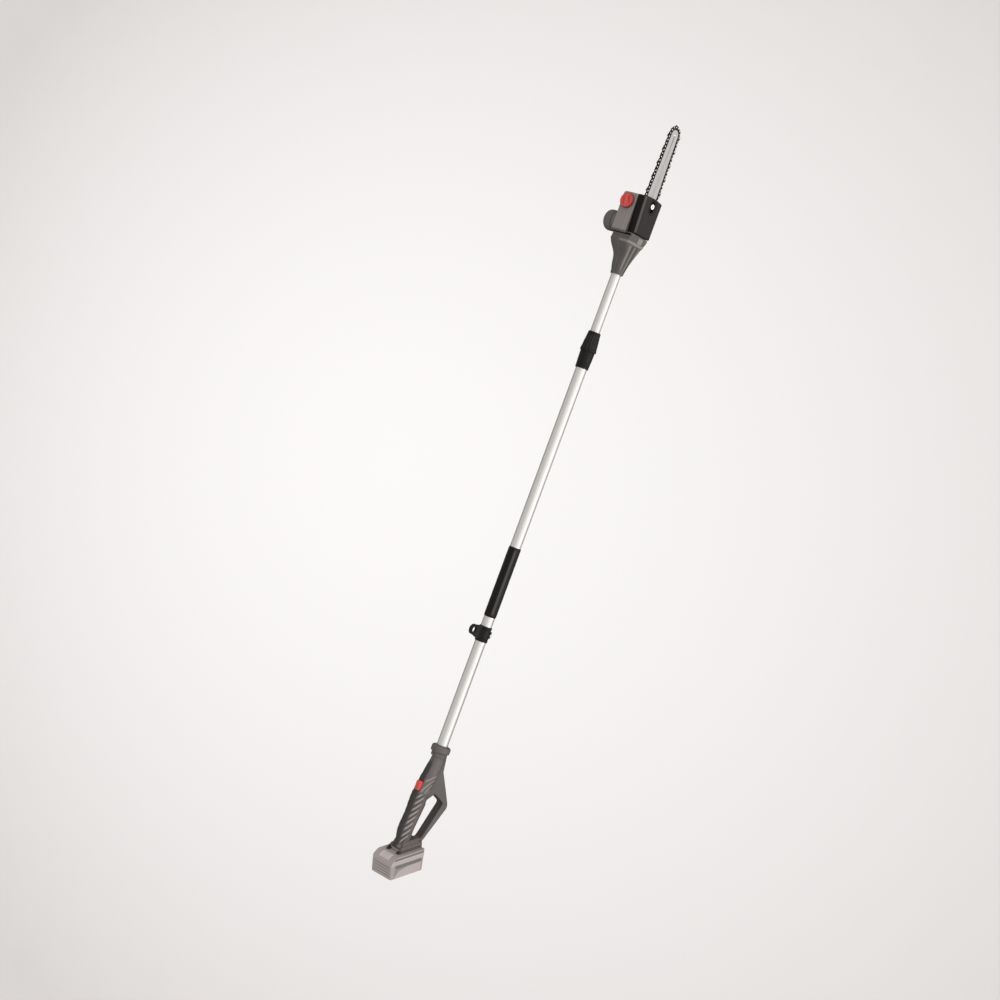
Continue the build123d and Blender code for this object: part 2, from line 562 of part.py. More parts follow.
def build_head(sprocket_x):
    left, right = head_shells(sprocket_x)
    save("head_shell_left", left)
    save("head_shell_right", right)
    save("head_screws", *[head_screw(x, z) for x, z in head_screw_places()])
    motor_x = sprocket_x - MOTOR_BACK
    save("motor_cover", motor_cover(motor_x))
    save("motor_can", motor_can(motor_x))
    save("motor_rotor", motor_rotor(motor_x))
    pinion_turn = 180 / PINION_TEETH + MESH_TILT
    save("motor_pinion", spur(PINION_TEETH, -3.6, 4.5, motor_x, MOTOR_Z, 2.5, pinion_turn))
    save("spur_gear", spur(GEAR_TEETH, -3.5, 3.5, sprocket_x, 0, 4.0, MESH_TILT))
    save("sprocket_shaft", rod_y(4.0, -27.5, 13.4, sprocket_x, 0))
    save("shaft_bearings", ball_bearing(11, 4.05, HEAD_RIGHT, -4, sprocket_x),
         ball_bearing(9, 4.05, 8, 13.5, sprocket_x))
    save("gearbox_plate", gearbox_plate(sprocket_x))
    save("oil_tank", oil_tank())
    save("oil_cap", oil_cap())
    save("oil_cap_seal", rod_z(16.5, 47.1, 48.3, CAP_X, CAP_Y) - rod_z(13.1, 47, 49, CAP_X, CAP_Y))
    save("oil_pump", oil_pump())
    save("bar_stud", bar_stud())
    save("bar_nut", bar_nut())
    save("sprocket_cover", sprocket_cover())
    save("tension_screw", tension_screw())


# ---------------------------------------------------------------- guide bar and chain
def chain_length():
    return 2 * DRIVE_LINKS * RIVET_PITCH


def sprocket_centre():
    """x of the drive sprocket that makes the rivet line exactly as long as the chain."""
    long_run = hypot(NOSE_X - SHOULDER_X, SHOULDER_PITCH_Z - NOSE_PITCH_R)
    rest = (chain_length() - pi * SPROCKET_PITCH_R - pi * NOSE_PITCH_R - 2 * long_run) / 2
    return SHOULDER_X - sqrt(rest ** 2 - (SHOULDER_PITCH_Z - SPROCKET_PITCH_R) ** 2)


def rivet_line(sprocket_x):
    """Closed path of the rivets, as segments (length, point and heading at a distance)."""
    rise_a = SHOULDER_PITCH_Z - SPROCKET_PITCH_R
    run_a = SHOULDER_X - sprocket_x
    rise_b = NOSE_PITCH_R - SHOULDER_PITCH_Z
    run_b = NOSE_X - SHOULDER_X
    half_turn = pi

    def straight(start, end):
        length = hypot(end[0] - start[0], end[1] - start[1])
        heading = atan2(end[1] - start[1], end[0] - start[0])
        return length, lambda s: (start[0] + s * cos(heading), start[1] + s * sin(heading))

    def arc(centre_x, radius, first):
        return half_turn * radius, lambda s: (centre_x + radius * cos(first - s / radius),
                                              radius * sin(first - s / radius))

    return (
        straight((sprocket_x, SPROCKET_PITCH_R), (sprocket_x + run_a, SPROCKET_PITCH_R + rise_a)),
        straight((SHOULDER_X, SHOULDER_PITCH_Z), (SHOULDER_X + run_b, SHOULDER_PITCH_Z + rise_b)),
        arc(NOSE_X, NOSE_PITCH_R, pi / 2),
        straight((NOSE_X, -NOSE_PITCH_R), (SHOULDER_X, -SHOULDER_PITCH_Z)),
        straight((SHOULDER_X, -SHOULDER_PITCH_Z), (sprocket_x, -SPROCKET_PITCH_R)),
        arc(sprocket_x, SPROCKET_PITCH_R, -pi / 2),
    )


def rivet_points(sprocket_x):
    """Centres of all the rivets; a drive link is centred on the sprocket's far side."""
    segments = rivet_line(sprocket_x)
    total = sum(length for length, _ in segments)
    count = 2 * DRIVE_LINKS
    pitch = total / count
    first = total - pi * SPROCKET_PITCH_R / 2 - pitch / 2
    points = []
    for i in range(count):
        s = (first + i * pitch) % total
        for length, place in segments:
            if s <= length:
                points.append(place(s))
                break
            s -= length
    return points


def link_location(a, b):
    """Frame with x from rivet a to rivet b and z away from the bar."""
    heading = degrees(atan2(b[1] - a[1], b[0] - a[0]))
    return Pos((a[0] + b[0]) / 2, BAR_Y, (a[1] + b[1]) / 2) * Rot(0, -heading, 0)


def strap_plate(y0, y1, half_height=2.8):
    half = RIVET_PITCH / 2
    solid = box(-half, half, y0, y1, -half_height, half_height)
    solid = solid + rod_y(half_height, y0, y1, -half, 0) + rod_y(half_height, y0, y1, half, 0)
    return solid - rivet_holes(y0, y1)


def rivet_holes(y0, y1):
    half = RIVET_PITCH / 2
    return [rod_y(1.6, y0 - 1, y1 + 1, x, 0) for x in (-half, half)]


def drive_link():
    half = RIVET_PITCH / 2
    tang = plate_y(((-half - 1.4, -1.5), (half + 1.6, -1.5), (1.6, -6.2), (-1.6, -6.2)), -0.6, 0.6)
    return strap_plate(-0.6, 0.6) + tang - rivet_holes(-0.6, 0.6)


def cutter(side):
    """Cutter link: a side plate, a top plate over the chain and a depth gauge ahead of it."""
    half = RIVET_PITCH / 2
    inner, outer = 0.7 * side, 1.8 * side
    y0, y1 = min(inner, outer), max(inner, outer)
    plate = strap_plate(y0, y1)
    web = plate_y(((-half - 2.6, 0), (-half - 2.2, 4.9), (0.6, 4.5), (-0.4, 0)), y0, y1)
    top_y = sorted((outer, -1.9 * side))
    top = plate_y(((-half - 2.2, 4.0), (-half - 2.2, 5.0), (0.6, 4.6), (0.2, 3.7)), *top_y)
    gauge = plate_y(((half - 2.0, 0), (half - 1.0, 4.0), (half + 1.4, 4.4), (half + 2.8, 0.5)), y0, y1)
    return plate + web + top + gauge - rivet_holes(y0, y1)


def bar_outline(inset):
    """Outline of the bar, or of its core when inset by the groove's depth."""
    tail, full = 12.0 - inset, SHOULDER_PITCH_Z - RAIL_DEPTH - inset
    nose = NOSE_PITCH_R - RAIL_DEPTH - inset
    start = 1474.0 + inset
    mid = (1487.0 + inset / 2, 18.4 - inset)
    edge = Polyline((start, -tail), (start, tail), mid, (SHOULDER_X, full), (NOSE_X, nose))
    tip = ThreePointArc((NOSE_X, nose), (NOSE_X + nose, 0), (NOSE_X, -nose))
    back = Polyline((NOSE_X, -nose), (SHOULDER_X, -full), (mid[0], -mid[1]), (start, -tail))
    return make_face(edge + tip + back)


def guide_bar():
    y0, y1 = BAR_Y - BAR_THICKNESS / 2, BAR_Y + BAR_THICKNESS / 2
    groove_0, groove_1 = BAR_Y - GROOVE_WIDTH / 2, BAR_Y + GROOVE_WIDTH / 2
    groove = plate_y(bar_outline(-1), groove_0, groove_1) - plate_y(bar_outline(GROOVE_DEPTH), groove_0, groove_1)
    nose_room = rod_y(16.5, groove_0, groove_1, NOSE_X)
    slot = box(1490, 1514, y0 - 1, y1 + 1, -4.1, 4.1)
    slot = fillet(slot.edges().filter_by(Axis.Y), 4)
    pin_hole = rod_y(2.6, y0 - 1, y1 + 1, TENSION_X, TENSION_Z)
    nose_hole = rod_y(2.0, y0 - 1, y1 + 1, NOSE_X)
    return plate_y(bar_outline(0), y0, y1) - groove - nose_room - slot - pin_hole - nose_hole


def tension_pin():
    block = box(TENSION_X - 3, TENSION_X + 3, -18.4, -12, TENSION_Z - 4, TENSION_Z + 4)
    pin = rod_y(2.4, -22.2, -18.4, TENSION_X, TENSION_Z)
    return block + pin - rod_x(2.0, TENSION_X - 6, TENSION_X + 6, TENSION_Y, TENSION_Z)


def toothed_disc(radius, teeth, notch_r, notch_at, y0, y1, x, bore):
    """Disc with round notches for the chain's tangs, the first one on the -X side."""
    disc = rod_y(radius, y0, y1)
    notches = [Rot(0, 360 * i / teeth, 0) * rod_y(notch_r, y0 - 1, y1 + 1, -notch_at, 0) for i in range(teeth)]
    return Pos(x, 0, 0) * (disc - notches - rod_y(bore, y0 - 1, y1 + 1))


def build_bar(sprocket_x):
    points = rivet_points(sprocket_x)
    count = len(points)
    drive, left, right, ties, rivets = drive_link(), cutter(1), cutter(-1), strap_plate(0.7, 1.8), []
    other_tie = strap_plate(-1.8, -0.7)
    nodes = {"chain_drive_links": [], "chain_cutters": [], "chain_tie_straps": []}
    for i in range(0, count, 2):
        place = link_location(points[i], points[(i + 1) % count])
        nodes["chain_drive_links"].append(place * drive)
        place = link_location(points[(i + 1) % count], points[(i + 2) % count])
        step = i // 2 % 4
        nodes["chain_cutters"] += [place * left] if step == 0 else [place * right] if step == 2 else []
        nodes["chain_tie_straps"] += [place * ties] if step != 0 else []
        nodes["chain_tie_straps"] += [place * other_tie] if step != 2 else []
    for x, z in points:
        rivets.append(rod_y(1.5, BAR_Y - 2.1, BAR_Y + 2.1, x, z))
    for name, solids in nodes.items():
        save(name, *solids)
    save("chain_rivets", *rivets)
    save("guide_bar", guide_bar())
    save("tension_pin", tension_pin())
    save("nose_rivet", rod_y(1.95, BAR_Y - 1.9, BAR_Y + 1.9, NOSE_X))
    save("nose_sprocket", toothed_disc(15.5, NOSE_TEETH, 3.4, 17.0, BAR_Y - 0.6, BAR_Y + 0.6, NOSE_X, 2.05))
    save("drive_sprocket", toothed_disc(14.5, SPROCKET_TEETH, 4.9, 15.4, BAR_Y - 3.2, BAR_Y + 3.2, sprocket_x, 4.0))
    save("sprocket_clip", ball_bearing(7, 4.0, BAR_Y - 4.6, BAR_Y - 3.4, sprocket_x))


os.makedirs("parts", exist_ok=True)
drive_x = sprocket_centre()
print("sprocket centre x", round(drive_x, 3), "chain length", round(chain_length(), 2))
build_handle()
build_battery()
build_pole()
build_head(drive_x)
build_bar(drive_x)
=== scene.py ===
"""Looks of the telescoping pole saw: camera, light, materials and the detailed visible pieces.

Sizes are in millimetres in the row frame unless a name says otherwise, and go to metres when a
mesh is written.  The pole lies on the X axis, the chain cover faces -Y and the hand loop -Z.
"""
import json
import math

import bpy
import numpy as np
from mathutils import Matrix, Vector


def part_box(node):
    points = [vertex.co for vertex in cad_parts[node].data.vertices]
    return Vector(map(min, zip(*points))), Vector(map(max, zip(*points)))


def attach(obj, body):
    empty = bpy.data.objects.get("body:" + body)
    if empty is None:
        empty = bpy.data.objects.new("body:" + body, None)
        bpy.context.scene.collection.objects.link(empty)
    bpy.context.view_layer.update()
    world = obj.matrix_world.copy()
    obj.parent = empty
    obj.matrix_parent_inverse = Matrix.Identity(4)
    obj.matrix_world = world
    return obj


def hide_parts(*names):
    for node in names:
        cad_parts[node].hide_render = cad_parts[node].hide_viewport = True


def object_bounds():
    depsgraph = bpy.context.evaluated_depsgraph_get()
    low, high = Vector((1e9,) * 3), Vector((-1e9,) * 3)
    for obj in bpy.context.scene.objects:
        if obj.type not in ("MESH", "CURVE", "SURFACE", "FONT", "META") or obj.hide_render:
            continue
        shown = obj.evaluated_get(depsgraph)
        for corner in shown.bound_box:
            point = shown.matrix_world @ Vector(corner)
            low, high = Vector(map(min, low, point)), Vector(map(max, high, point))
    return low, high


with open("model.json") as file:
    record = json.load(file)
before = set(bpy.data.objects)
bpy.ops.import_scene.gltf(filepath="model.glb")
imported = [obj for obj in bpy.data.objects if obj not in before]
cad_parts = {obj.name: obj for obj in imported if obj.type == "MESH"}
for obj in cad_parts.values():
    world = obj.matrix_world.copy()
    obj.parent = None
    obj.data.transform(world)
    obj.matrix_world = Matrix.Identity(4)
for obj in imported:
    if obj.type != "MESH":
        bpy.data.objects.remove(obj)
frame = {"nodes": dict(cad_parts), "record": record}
cad_low, cad_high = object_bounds()
scene = bpy.context.scene
record = frame["record"]
NODE_SLOT = {part["node"]: part["material_slot"] for part in record["subparts"]}
NODE_BODY = {node: body for body, nodes in record["behaviour"]["bodies"].items() for node in nodes}
MM = 0.001


def node_box(name):
    """A CAD node's lowest and highest corners in millimetres."""
    low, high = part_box(name)
    return np.array(low) / MM, np.array(high) / MM


# ---------------------------------------------------------------- camera
CAMERA_PLACE = Vector((0.334188, -3.107555, 4.128460))
CAMERA_RIGHT = Vector((0.34616015, -0.73510265, -0.58292130))
CAMERA_UP = Vector((0.93782016, 0.28822707, 0.19343861))
CAMERA_BACK = Vector((0.02581646, -0.61363609, 0.78916681))
LENS_MM, SENSOR_MM = 70.74, 36.0
CAMERA_REACH = 50.0                           # the camera's clipping distance, in metres
LIGHT_SPREAD = math.radians(60)


def add_camera():
    camera = bpy.data.cameras.new("camera")
    camera.lens = LENS_MM
    camera.sensor_width = SENSOR_MM
    camera.clip_end = CAMERA_REACH
    holder = bpy.data.objects.new("camera", camera)
    scene.collection.objects.link(holder)
    axes = Matrix((CAMERA_RIGHT, CAMERA_UP, CAMERA_BACK)).transposed().to_4x4()
    holder.matrix_world = Matrix.Translation(CAMERA_PLACE) @ axes
    scene.camera = holder


def area_light(name, place, target, size, power, colour):
    """A rectangular light at place, turned to face target."""
    light = bpy.data.lights.new(name, "AREA")
    light.shape = "RECTANGLE"
    light.size, light.size_y = size
    light.energy = power
    light.color = colour
    light.spread = LIGHT_SPREAD
    holder = bpy.data.objects.new(name, light)
    scene.collection.objects.link(holder)
    holder.location = place
    holder.rotation_euler = (Vector(target) - Vector(place)).to_track_quat("-Z", "Y").to_euler()


# ---------------------------------------------------------------- node helpers
class Nodes:
    """A short way to write a material's nodes."""

    def __init__(self, name):
        self.material = bpy.data.materials.new(name)
        self.material.use_nodes = True
        self.tree = self.material.node_tree
        self.shader = self.tree.nodes["Principled BSDF"]
        self.coords = self.tree.nodes.new("ShaderNodeTexCoord")

    def add(self, kind, values=None, links=None, **settings):
        node = self.tree.nodes.new(kind)
        for key, value in settings.items():
            setattr(node, key, value)
        for key, value in (values or {}).items():
            node.inputs[key].default_value = value
        for key, source in (links or {}).items():
            self.tree.links.new(source, node.inputs[key])
        return node

    def stretched(self, scale):
        """Object coordinates scaled differently along each axis."""
        placed = {"Vector": self.coords.outputs["Object"]}
        return self.add("ShaderNodeMapping", {"Scale": scale}, placed).outputs[0]

    def noise(self, scale, detail=3.0, rough=0.55, vector=None):
        """Fractal noise from 0 to 1, on object coordinates unless a vector is given."""
        vector = vector or self.coords.outputs["Object"]
        return self.add("ShaderNodeTexNoise", {"Scale": scale, "Detail": detail, "Roughness": rough},
                        {"Vector": vector}).outputs["Fac"]

    def ramp(self, source, low, high, colours):
        """Run from the first colour at low to the second at high."""
        node = self.add("ShaderNodeValToRGB", links={"Fac": source})
        node.color_ramp.elements[0].position = low
        node.color_ramp.elements[1].position = high
        node.color_ramp.elements[0].color = (*colours[0], 1)
        node.color_ramp.elements[1].color = (*colours[1], 1)
        return node.outputs["Color"]

    def spread(self, source, low, high):
        """Map a 0..1 value to low..high."""
        node = self.add("ShaderNodeMapRange", {"To Min": low, "To Max": high}, {"Value": source})
        return node.outputs["Result"]

    def sculpted(self, name):
        """A value that the sculpting code wrote on the mesh, 0 where there is none."""
        return self.add("ShaderNodeAttribute", attribute_name=name).outputs["Fac"]

    def mixed(self, factor, first, second):
        """Mix two colours by a socket; each colour is a socket or three numbers."""
        node = self.add("ShaderNodeMix", data_type="RGBA", blend_type="MIX")
        for key, value in (("Factor", factor), ("A", first), ("B", second)):
            if isinstance(value, tuple):
                node.inputs[key].default_value = (*value, 1)
            else:
                self.tree.links.new(value, node.inputs[key])
        return node.outputs["Result"]

    def bump(self, height, strength, distance, under=None):
        """A bump of the height socket, on top of the bump called under."""
        links = {"Height": height}
        if under:
            links["Normal"] = under
        return self.add("ShaderNodeBump", {"Strength": strength, "Distance": distance}, links).outputs["Normal"]

    def link(self, source, socket):
        self.tree.links.new(source, self.shader.inputs[socket])

    def set(self, **values):
        for key, value in values.items():
            self.shader.inputs[key.replace("_", " ")].default_value = value


def shade(colour, factor):
    """The colour made lighter or darker."""
    return tuple(min(1.0, channel * factor) for channel in colour)


# ---------------------------------------------------------------- materials
def moulded_plastic(name, colour, roughness=0.45, speckle=0.1, lighter=2.0, darker=0.12, shine=0.25):
    """Moulded plastic: spark-eroded grain, flow marks, scuffs, paler edges that are partly worn and partly
    painted highlight, and painted shade in the creases.
    """
    n = Nodes(name)
    flow = n.noise(14, 4, 0.6)
    fine = n.noise(1500, 2, 0.5)
    scuffs = n.noise(1.0, 5, 0.7, n.stretched((60, 240, 240)))
    tint = n.ramp(flow, 0.3, 0.72, (shade(colour, 1 - speckle), shade(colour, 1 + speckle)))
    scuff_and_sheen = n.ramp(scuffs, 0.58, 0.8, ((0, 0, 0), (0.3, 0.3, 0.3)))
    tint = n.mixed(scuff_and_sheen, tint, shade(colour, 1.35))
    # Paler edges, partly worn and partly painted highlight, plus the forms' painted highlights.
    tint = n.mixed(n.sculpted("wear_and_highlight"), tint, shade(colour, lighter))
    # Painted shade in the creases and from the forms, with the handle's dark seam.
    n.link(n.mixed(n.sculpted("shade_and_dark_seam"), tint, shade(colour, darker)), "Base Color")
    n.link(n.spread(n.noise(90, 3), roughness - 0.06, roughness + 0.08), "Roughness")
    n.link(n.bump(fine, 0.35, 0.00005, n.bump(flow, 0.05, 0.0004)), "Normal")
    n.set(Specular_IOR_Level=shine)
    return n.material


def gloss_plastic(name, colour):
    """Bright glossy moulding with faint flow lines, paler edges that are partly worn and partly painted
    highlight, and painted shade in darker creases.
    """
    n = Nodes(name)
    flow = n.noise(30, 3)
    tint = n.ramp(flow, 0.3, 0.7, (shade(colour, 0.9), shade(colour, 1.08)))
    # Paler edges, partly worn and partly painted highlight, plus the forms' painted highlights.
    tint = n.mixed(n.sculpted("wear_and_highlight"), tint, tuple(0.6 * c + 0.28 for c in colour))
    # Painted shade in the creases and from the forms.
    n.link(n.mixed(n.sculpted("shade_and_dark_seam"), tint, shade(colour, 0.22)), "Base Color")
    n.link(n.spread(n.noise(160, 3), 0.22, 0.36), "Roughness")
    n.link(n.bump(n.noise(900, 2), 0.08, 0.00004), "Normal")
    n.set(Specular_IOR_Level=0.3, Coat_Weight=0.05, Coat_Roughness=0.2)
    return n.material


def drawn_aluminium(name, colour, roughness=0.3):
    """Satin anodised tube: fine lines along the pole, handling marks and a few dull patches."""
    n = Nodes(name)
    lines = n.noise(1.0, 5, 0.7, n.stretched((6, 1800, 1800)))
    marks = n.noise(9, 4, 0.6)
    n.link(n.ramp(lines, 0.35, 0.65, (shade(colour, 0.94), shade(colour, 1.03))), "Base Color")
    n.link(n.spread(marks, roughness - 0.05, roughness + 0.1), "Roughness")
    n.link(n.bump(lines, 0.12, 0.00005), "Normal")
    n.set(Metallic=0.6, Specular_IOR_Level=0.4)
    return n.material


def worked_steel(name, colour, roughness, stretch=(8, 900, 900), contrast=0.12, metallic=1.0, shine=0.5):
    """Ground, drawn or turned steel with directional lines and oily patches."""
    n = Nodes(name)
    lines = n.noise(1.0, 5, 0.65, n.stretched(stretch))
    patches = n.noise(45, 4, 0.6)
    n.link(n.ramp(lines, 0.3, 0.7, (shade(colour, 1 - contrast), shade(colour, 1 + contrast))), "Base Color")
    n.link(n.spread(patches, roughness - 0.1, roughness + 0.12), "Roughness")
    n.link(n.bump(lines, 0.2, 0.00004), "Normal")
    n.set(Metallic=metallic, Specular_IOR_Level=shine)
    return n.material


BAR_SHOULDER_X, BAR_NOSE_X = 1.055, 1.2515                 # metres in the row frame
BAR_SHOULDER_HALF, BAR_NOSE_HALF = 0.0246, 0.018           # half widths of the bar there
OIL_COLOUR = (0.012, 0.010, 0.009)
OIL_FULL, OIL_GONE, OIL_RAGGED = 0.0005, 0.003, 0.004      # distances from the rail, in metres


def oiled_bar(name, colour):
    """Ground bar steel, black with chain oil along its rails."""
    n = Nodes(name)
    lines = n.noise(1.0, 5, 0.65, n.stretched((8, 900, 900)))
    steel = n.ramp(lines, 0.3, 0.7, (shade(colour, 0.9), shade(colour, 1.08)))
    axes = n.add("ShaderNodeSeparateXYZ", links={"Vector": n.coords.outputs["Object"]}).outputs
    taper = {"From Min": BAR_SHOULDER_X, "From Max": BAR_NOSE_X,
             "To Min": BAR_SHOULDER_HALF, "To Max": BAR_NOSE_HALF}
    edge = n.add("ShaderNodeMapRange", taper, {"Value": axes["X"]}).outputs["Result"]
    past = n.add("ShaderNodeMath", {1: BAR_NOSE_X}, {0: axes["X"]}, operation="SUBTRACT").outputs[0]
    past = n.add("ShaderNodeMath", {1: 0.0}, {0: past}, operation="MAXIMUM").outputs[0]
    reach = n.add("ShaderNodeCombineXYZ", links={"X": past, "Z": axes["Z"]}).outputs["Vector"]
    reach = n.add("ShaderNodeVectorMath", links={0: reach}, operation="LENGTH").outputs["Value"]
    inside = n.add("ShaderNodeMath", links={0: edge, 1: reach}, operation="SUBTRACT").outputs[0]
    ragged = n.add("ShaderNodeMath", {1: OIL_RAGGED}, {0: n.noise(140, 4)}, operation="MULTIPLY").outputs[0]
    inside = n.add("ShaderNodeMath", links={0: inside, 1: ragged}, operation="SUBTRACT").outputs[0]
    fade = {"From Min": OIL_FULL, "From Max": OIL_GONE, "To Min": 1.0, "To Max": 0.0}
    oil = n.add("ShaderNodeMapRange", fade, {"Value": inside}, interpolation_type="SMOOTHSTEP")
    n.link(n.mixed(oil.outputs["Result"], steel, OIL_COLOUR), "Base Color")
    n.link(n.spread(n.noise(45, 4, 0.6), 0.3, 0.5), "Roughness")
    n.link(n.bump(lines, 0.2, 0.00004), "Normal")
    n.set(Metallic=0.8)
    return n.material


FOAM_SHEEN_AND_WEAR = 0.06                            # how much paler foam is under the painted highlight stripe and on its edges, partly worn


def foam_rubber(name, colour):
    """Closed-cell foam: small pits in a slightly shiny skin."""
    n = Nodes(name)
    placed = {"Vector": n.coords.outputs["Object"]}
    cells = n.add("ShaderNodeTexVoronoi", {"Scale": 900.0}, placed).outputs["Distance"]
    soft = n.noise(60, 4)
    skin = n.ramp(soft, 0.3, 0.7, (shade(colour, 0.8), shade(colour, 1.3)))
    # Paler colour for the painted highlight stripe and the paler edges, partly worn.
    scuff_and_sheen = tuple(channel + FOAM_SHEEN_AND_WEAR for channel in colour)
    n.link(n.mixed(n.sculpted("wear_and_highlight"), skin, scuff_and_sheen), "Base Color")
    n.link(n.spread(soft, 0.32, 0.44), "Roughness")
    n.link(n.bump(cells, 0.35, 0.0001, n.bump(soft, 0.2, 0.0004)), "Normal")
    n.set(Specular_IOR_Level=0.1, Sheen_Weight=0.01, Sheen_Roughness=0.5)
    return n.material


def board_laminate(name, colour):
    """Circuit board: solder mask over faint tracks."""
    n = Nodes(name)
    placed = {"Vector": n.coords.outputs["Object"]}
    tracks = n.add("ShaderNodeTexBrick", {"Scale": 220.0, "Mortar Size": 0.06}, placed)
    n.link(n.ramp(tracks.outputs["Fac"], 0.2, 0.8, (colour, shade(colour, 1.6))), "Base Color")
    n.link(n.spread(n.noise(300, 2), 0.3, 0.45), "Roughness")
    return n.material


def oil_tank_plastic(name, colour):
    """Milky polyethylene."""
    n = Nodes(name)
    n.link(n.ramp(n.noise(25, 3), 0.3, 0.7, (shade(colour, 0.92), shade(colour, 1.05))), "Base Color")
    n.link(n.bump(n.noise(500, 2), 0.1, 0.0001), "Normal")
    n.set(Roughness=0.5, Subsurface_Weight=0.1)
    return n.material


SLOT_FINISHES = {
    "handle_plastic": (moulded_plastic, (0.068, 0.060, 0.056), 0.42, 0.12, 3.0),
    "head_plastic": (moulded_plastic, (0.064, 0.057, 0.053), 0.42, 0.1, 3.0),
    "shoe_plastic": (moulded_plastic, (0.060, 0.048, 0.042), 0.45),
    "battery_plastic": (moulded_plastic, (0.222, 0.196, 0.187), 0.48, 0.06, 1.75, 0.25),
    "cover_plastic": (moulded_plastic, (0.0098, 0.0084, 0.0077), 0.38, 0.1, 10.0, 0.1, 0.1),
    "black_plastic": (moulded_plastic, (0.005, 0.0042, 0.0037), 0.36, 0.1, 6.0, 0.1, 0.1),
    "trigger_plastic": (moulded_plastic, (0.075, 0.018, 0.024), 0.4),
    "inner_plastic": (moulded_plastic, (0.08, 0.08, 0.085), 0.5),
    "red_plastic": (gloss_plastic, (0.38, 0.016, 0.007)),
    "oil_tank_plastic": (oil_tank_plastic, (0.72, 0.72, 0.66)),
    "anodised_tube": (drawn_aluminium, (0.415, 0.400, 0.386)),
    "foam_rubber": (foam_rubber, (0.0035, 0.0027, 0.0021)),
    "cable_rubber": (moulded_plastic, (0.03, 0.03, 0.03), 0.55),
    "steel": (worked_steel, (0.42, 0.42, 0.43), 0.32),
    "bar_steel": (oiled_bar, (0.335, 0.322, 0.314)),
    "chain_steel": (worked_steel, (0.004, 0.0034, 0.003), 0.5, (300, 300, 300), 0.25, 0.0, 0.05),
    "cutter_chrome": (worked_steel, (0.005, 0.0043, 0.0038), 0.45, (260, 260, 260), 0.2, 0.05, 0.08),
    "bright_steel": (worked_steel, (0.85, 0.85, 0.84), 0.24, (400, 400, 400), 0.05),
    "zinc_steel": (worked_steel, (0.5, 0.5, 0.49), 0.3, (350, 350, 350), 0.1),
    "spring_steel": (worked_steel, (0.28, 0.28, 0.3), 0.3, (300, 300, 300), 0.12),
    "motor_metal": (worked_steel, (0.38, 0.38, 0.4), 0.35),
    "cell_metal": (gloss_plastic, (0.1, 0.2, 0.35)),
    "copper_alloy": (worked_steel, (0.7, 0.48, 0.28), 0.3, (300, 300, 300), 0.1),
    "circuit_board": (board_laminate, (0.015, 0.09, 0.035)),
}
SLOT_MATERIALS = {slot: make(slot, *values) for slot, (make, *values) in SLOT_FINISHES.items()}
SMOOTH_ANGLE, BEVEL_ANGLE = math.radians(32), math.radians(35)
WELD_GAP = 0.00001                            # metres


def dress(piece, slot):
    """Give a piece the one material of its slot."""
    piece.data.materials.clear()
    piece.data.materials.append(SLOT_MATERIALS[slot])


def smooth(mesh):
    for polygon in mesh.polygons:
        polygon.use_smooth = True


# width of the softened edges of visible metal nodes, in millimetres
BEVELS = {"bar_nut": 0.5, "bar_stud": 0.3, "guide_bar": 0.35, "chain_cutters": 0.2, "chain_tie_straps": 0.2,
          "chain_rivets": 0.15, "drive_sprocket": 0.3, "tension_screw": 0.3, "strap_clamp_screw": 0.3,
          "handle_screws": 0.3, "head_screws": 0.3, "battery_screws": 0.3, "outer_tube": 0.4, "inner_tube": 0.4,
          "nose_rivet": 0.15}


def dress_cad_nodes():
    """Carried-over nodes get their finish, and the visible metal ones softened edges."""
    for name, node in frame["nodes"].items():
        dress(node, NODE_SLOT[name])
        smooth(node.data)
        node.data.set_sharp_from_angle(angle=SMOOTH_ANGLE)
        if name in BEVELS:
            node.modifiers.new("joined", "WELD").merge_threshold = WELD_GAP
            bevel = node.modifiers.new("softened", "BEVEL")
            bevel.width, bevel.segments, bevel.limit_method = BEVELS[name] * MM, 2, "ANGLE"
            bevel.angle_limit = BEVEL_ANGLE
            node.modifiers.new("true_flats", "WEIGHTED_NORMAL").keep_sharp = True


# ---------------------------------------------------------------- sculpting
def rise(values, start, end):
    """0 before start, 1 after end, smooth between."""
    t = np.clip((values - start) / (end - start), 0, 1)
    return t * t * (3 - 2 * t)


def band(values, low, high, soft=1.5):
    """1 between low and high, fading to 0 over soft outside them."""
    return rise(values, low - soft, low) * (1 - rise(values, high, high + soft))


def even_skin(node, voxel):
    """A copy of a CAD node's mesh covered with small even faces."""
    copy = bpy.data.objects.new("skin", frame["nodes"][node].data.copy())
    scene.collection.objects.link(copy)
    skin = copy.modifiers.new("skin", "REMESH")
    skin.mode, skin.voxel_size, skin.adaptivity = "VOXEL", voxel * MM, 0.0
    bpy.context.view_layer.update()
    mesh = bpy.data.meshes.new_from_object(copy.evaluated_get(bpy.context.evaluated_depsgraph_get()))
    bpy.data.objects.remove(copy)
    return mesh


def neighbour_mean(values, ends, valence):
    """Each vertex's mean over the vertices it shares an edge with."""
    first, second = ends
    columns = []
    for column in values.T:
        total = np.bincount(first, column[second], len(values))
        total = total + np.bincount(second, column[first], len(values))
        columns.append(total / valence)
    return np.stack(columns, 1)


def read(mesh, attribute):
    """A vertex vector of the mesh as an array."""
    values = np.empty(len(mesh.vertices) * 3, np.float32)
    mesh.vertices.foreach_get(attribute, values)
    return values.reshape(-1, 3).astype(float)


def write(mesh, points):
    """Move the vertices to points, given in millimetres."""
    mesh.vertices.foreach_set("co", (points * MM).astype(np.float32).ravel())
    mesh.update()


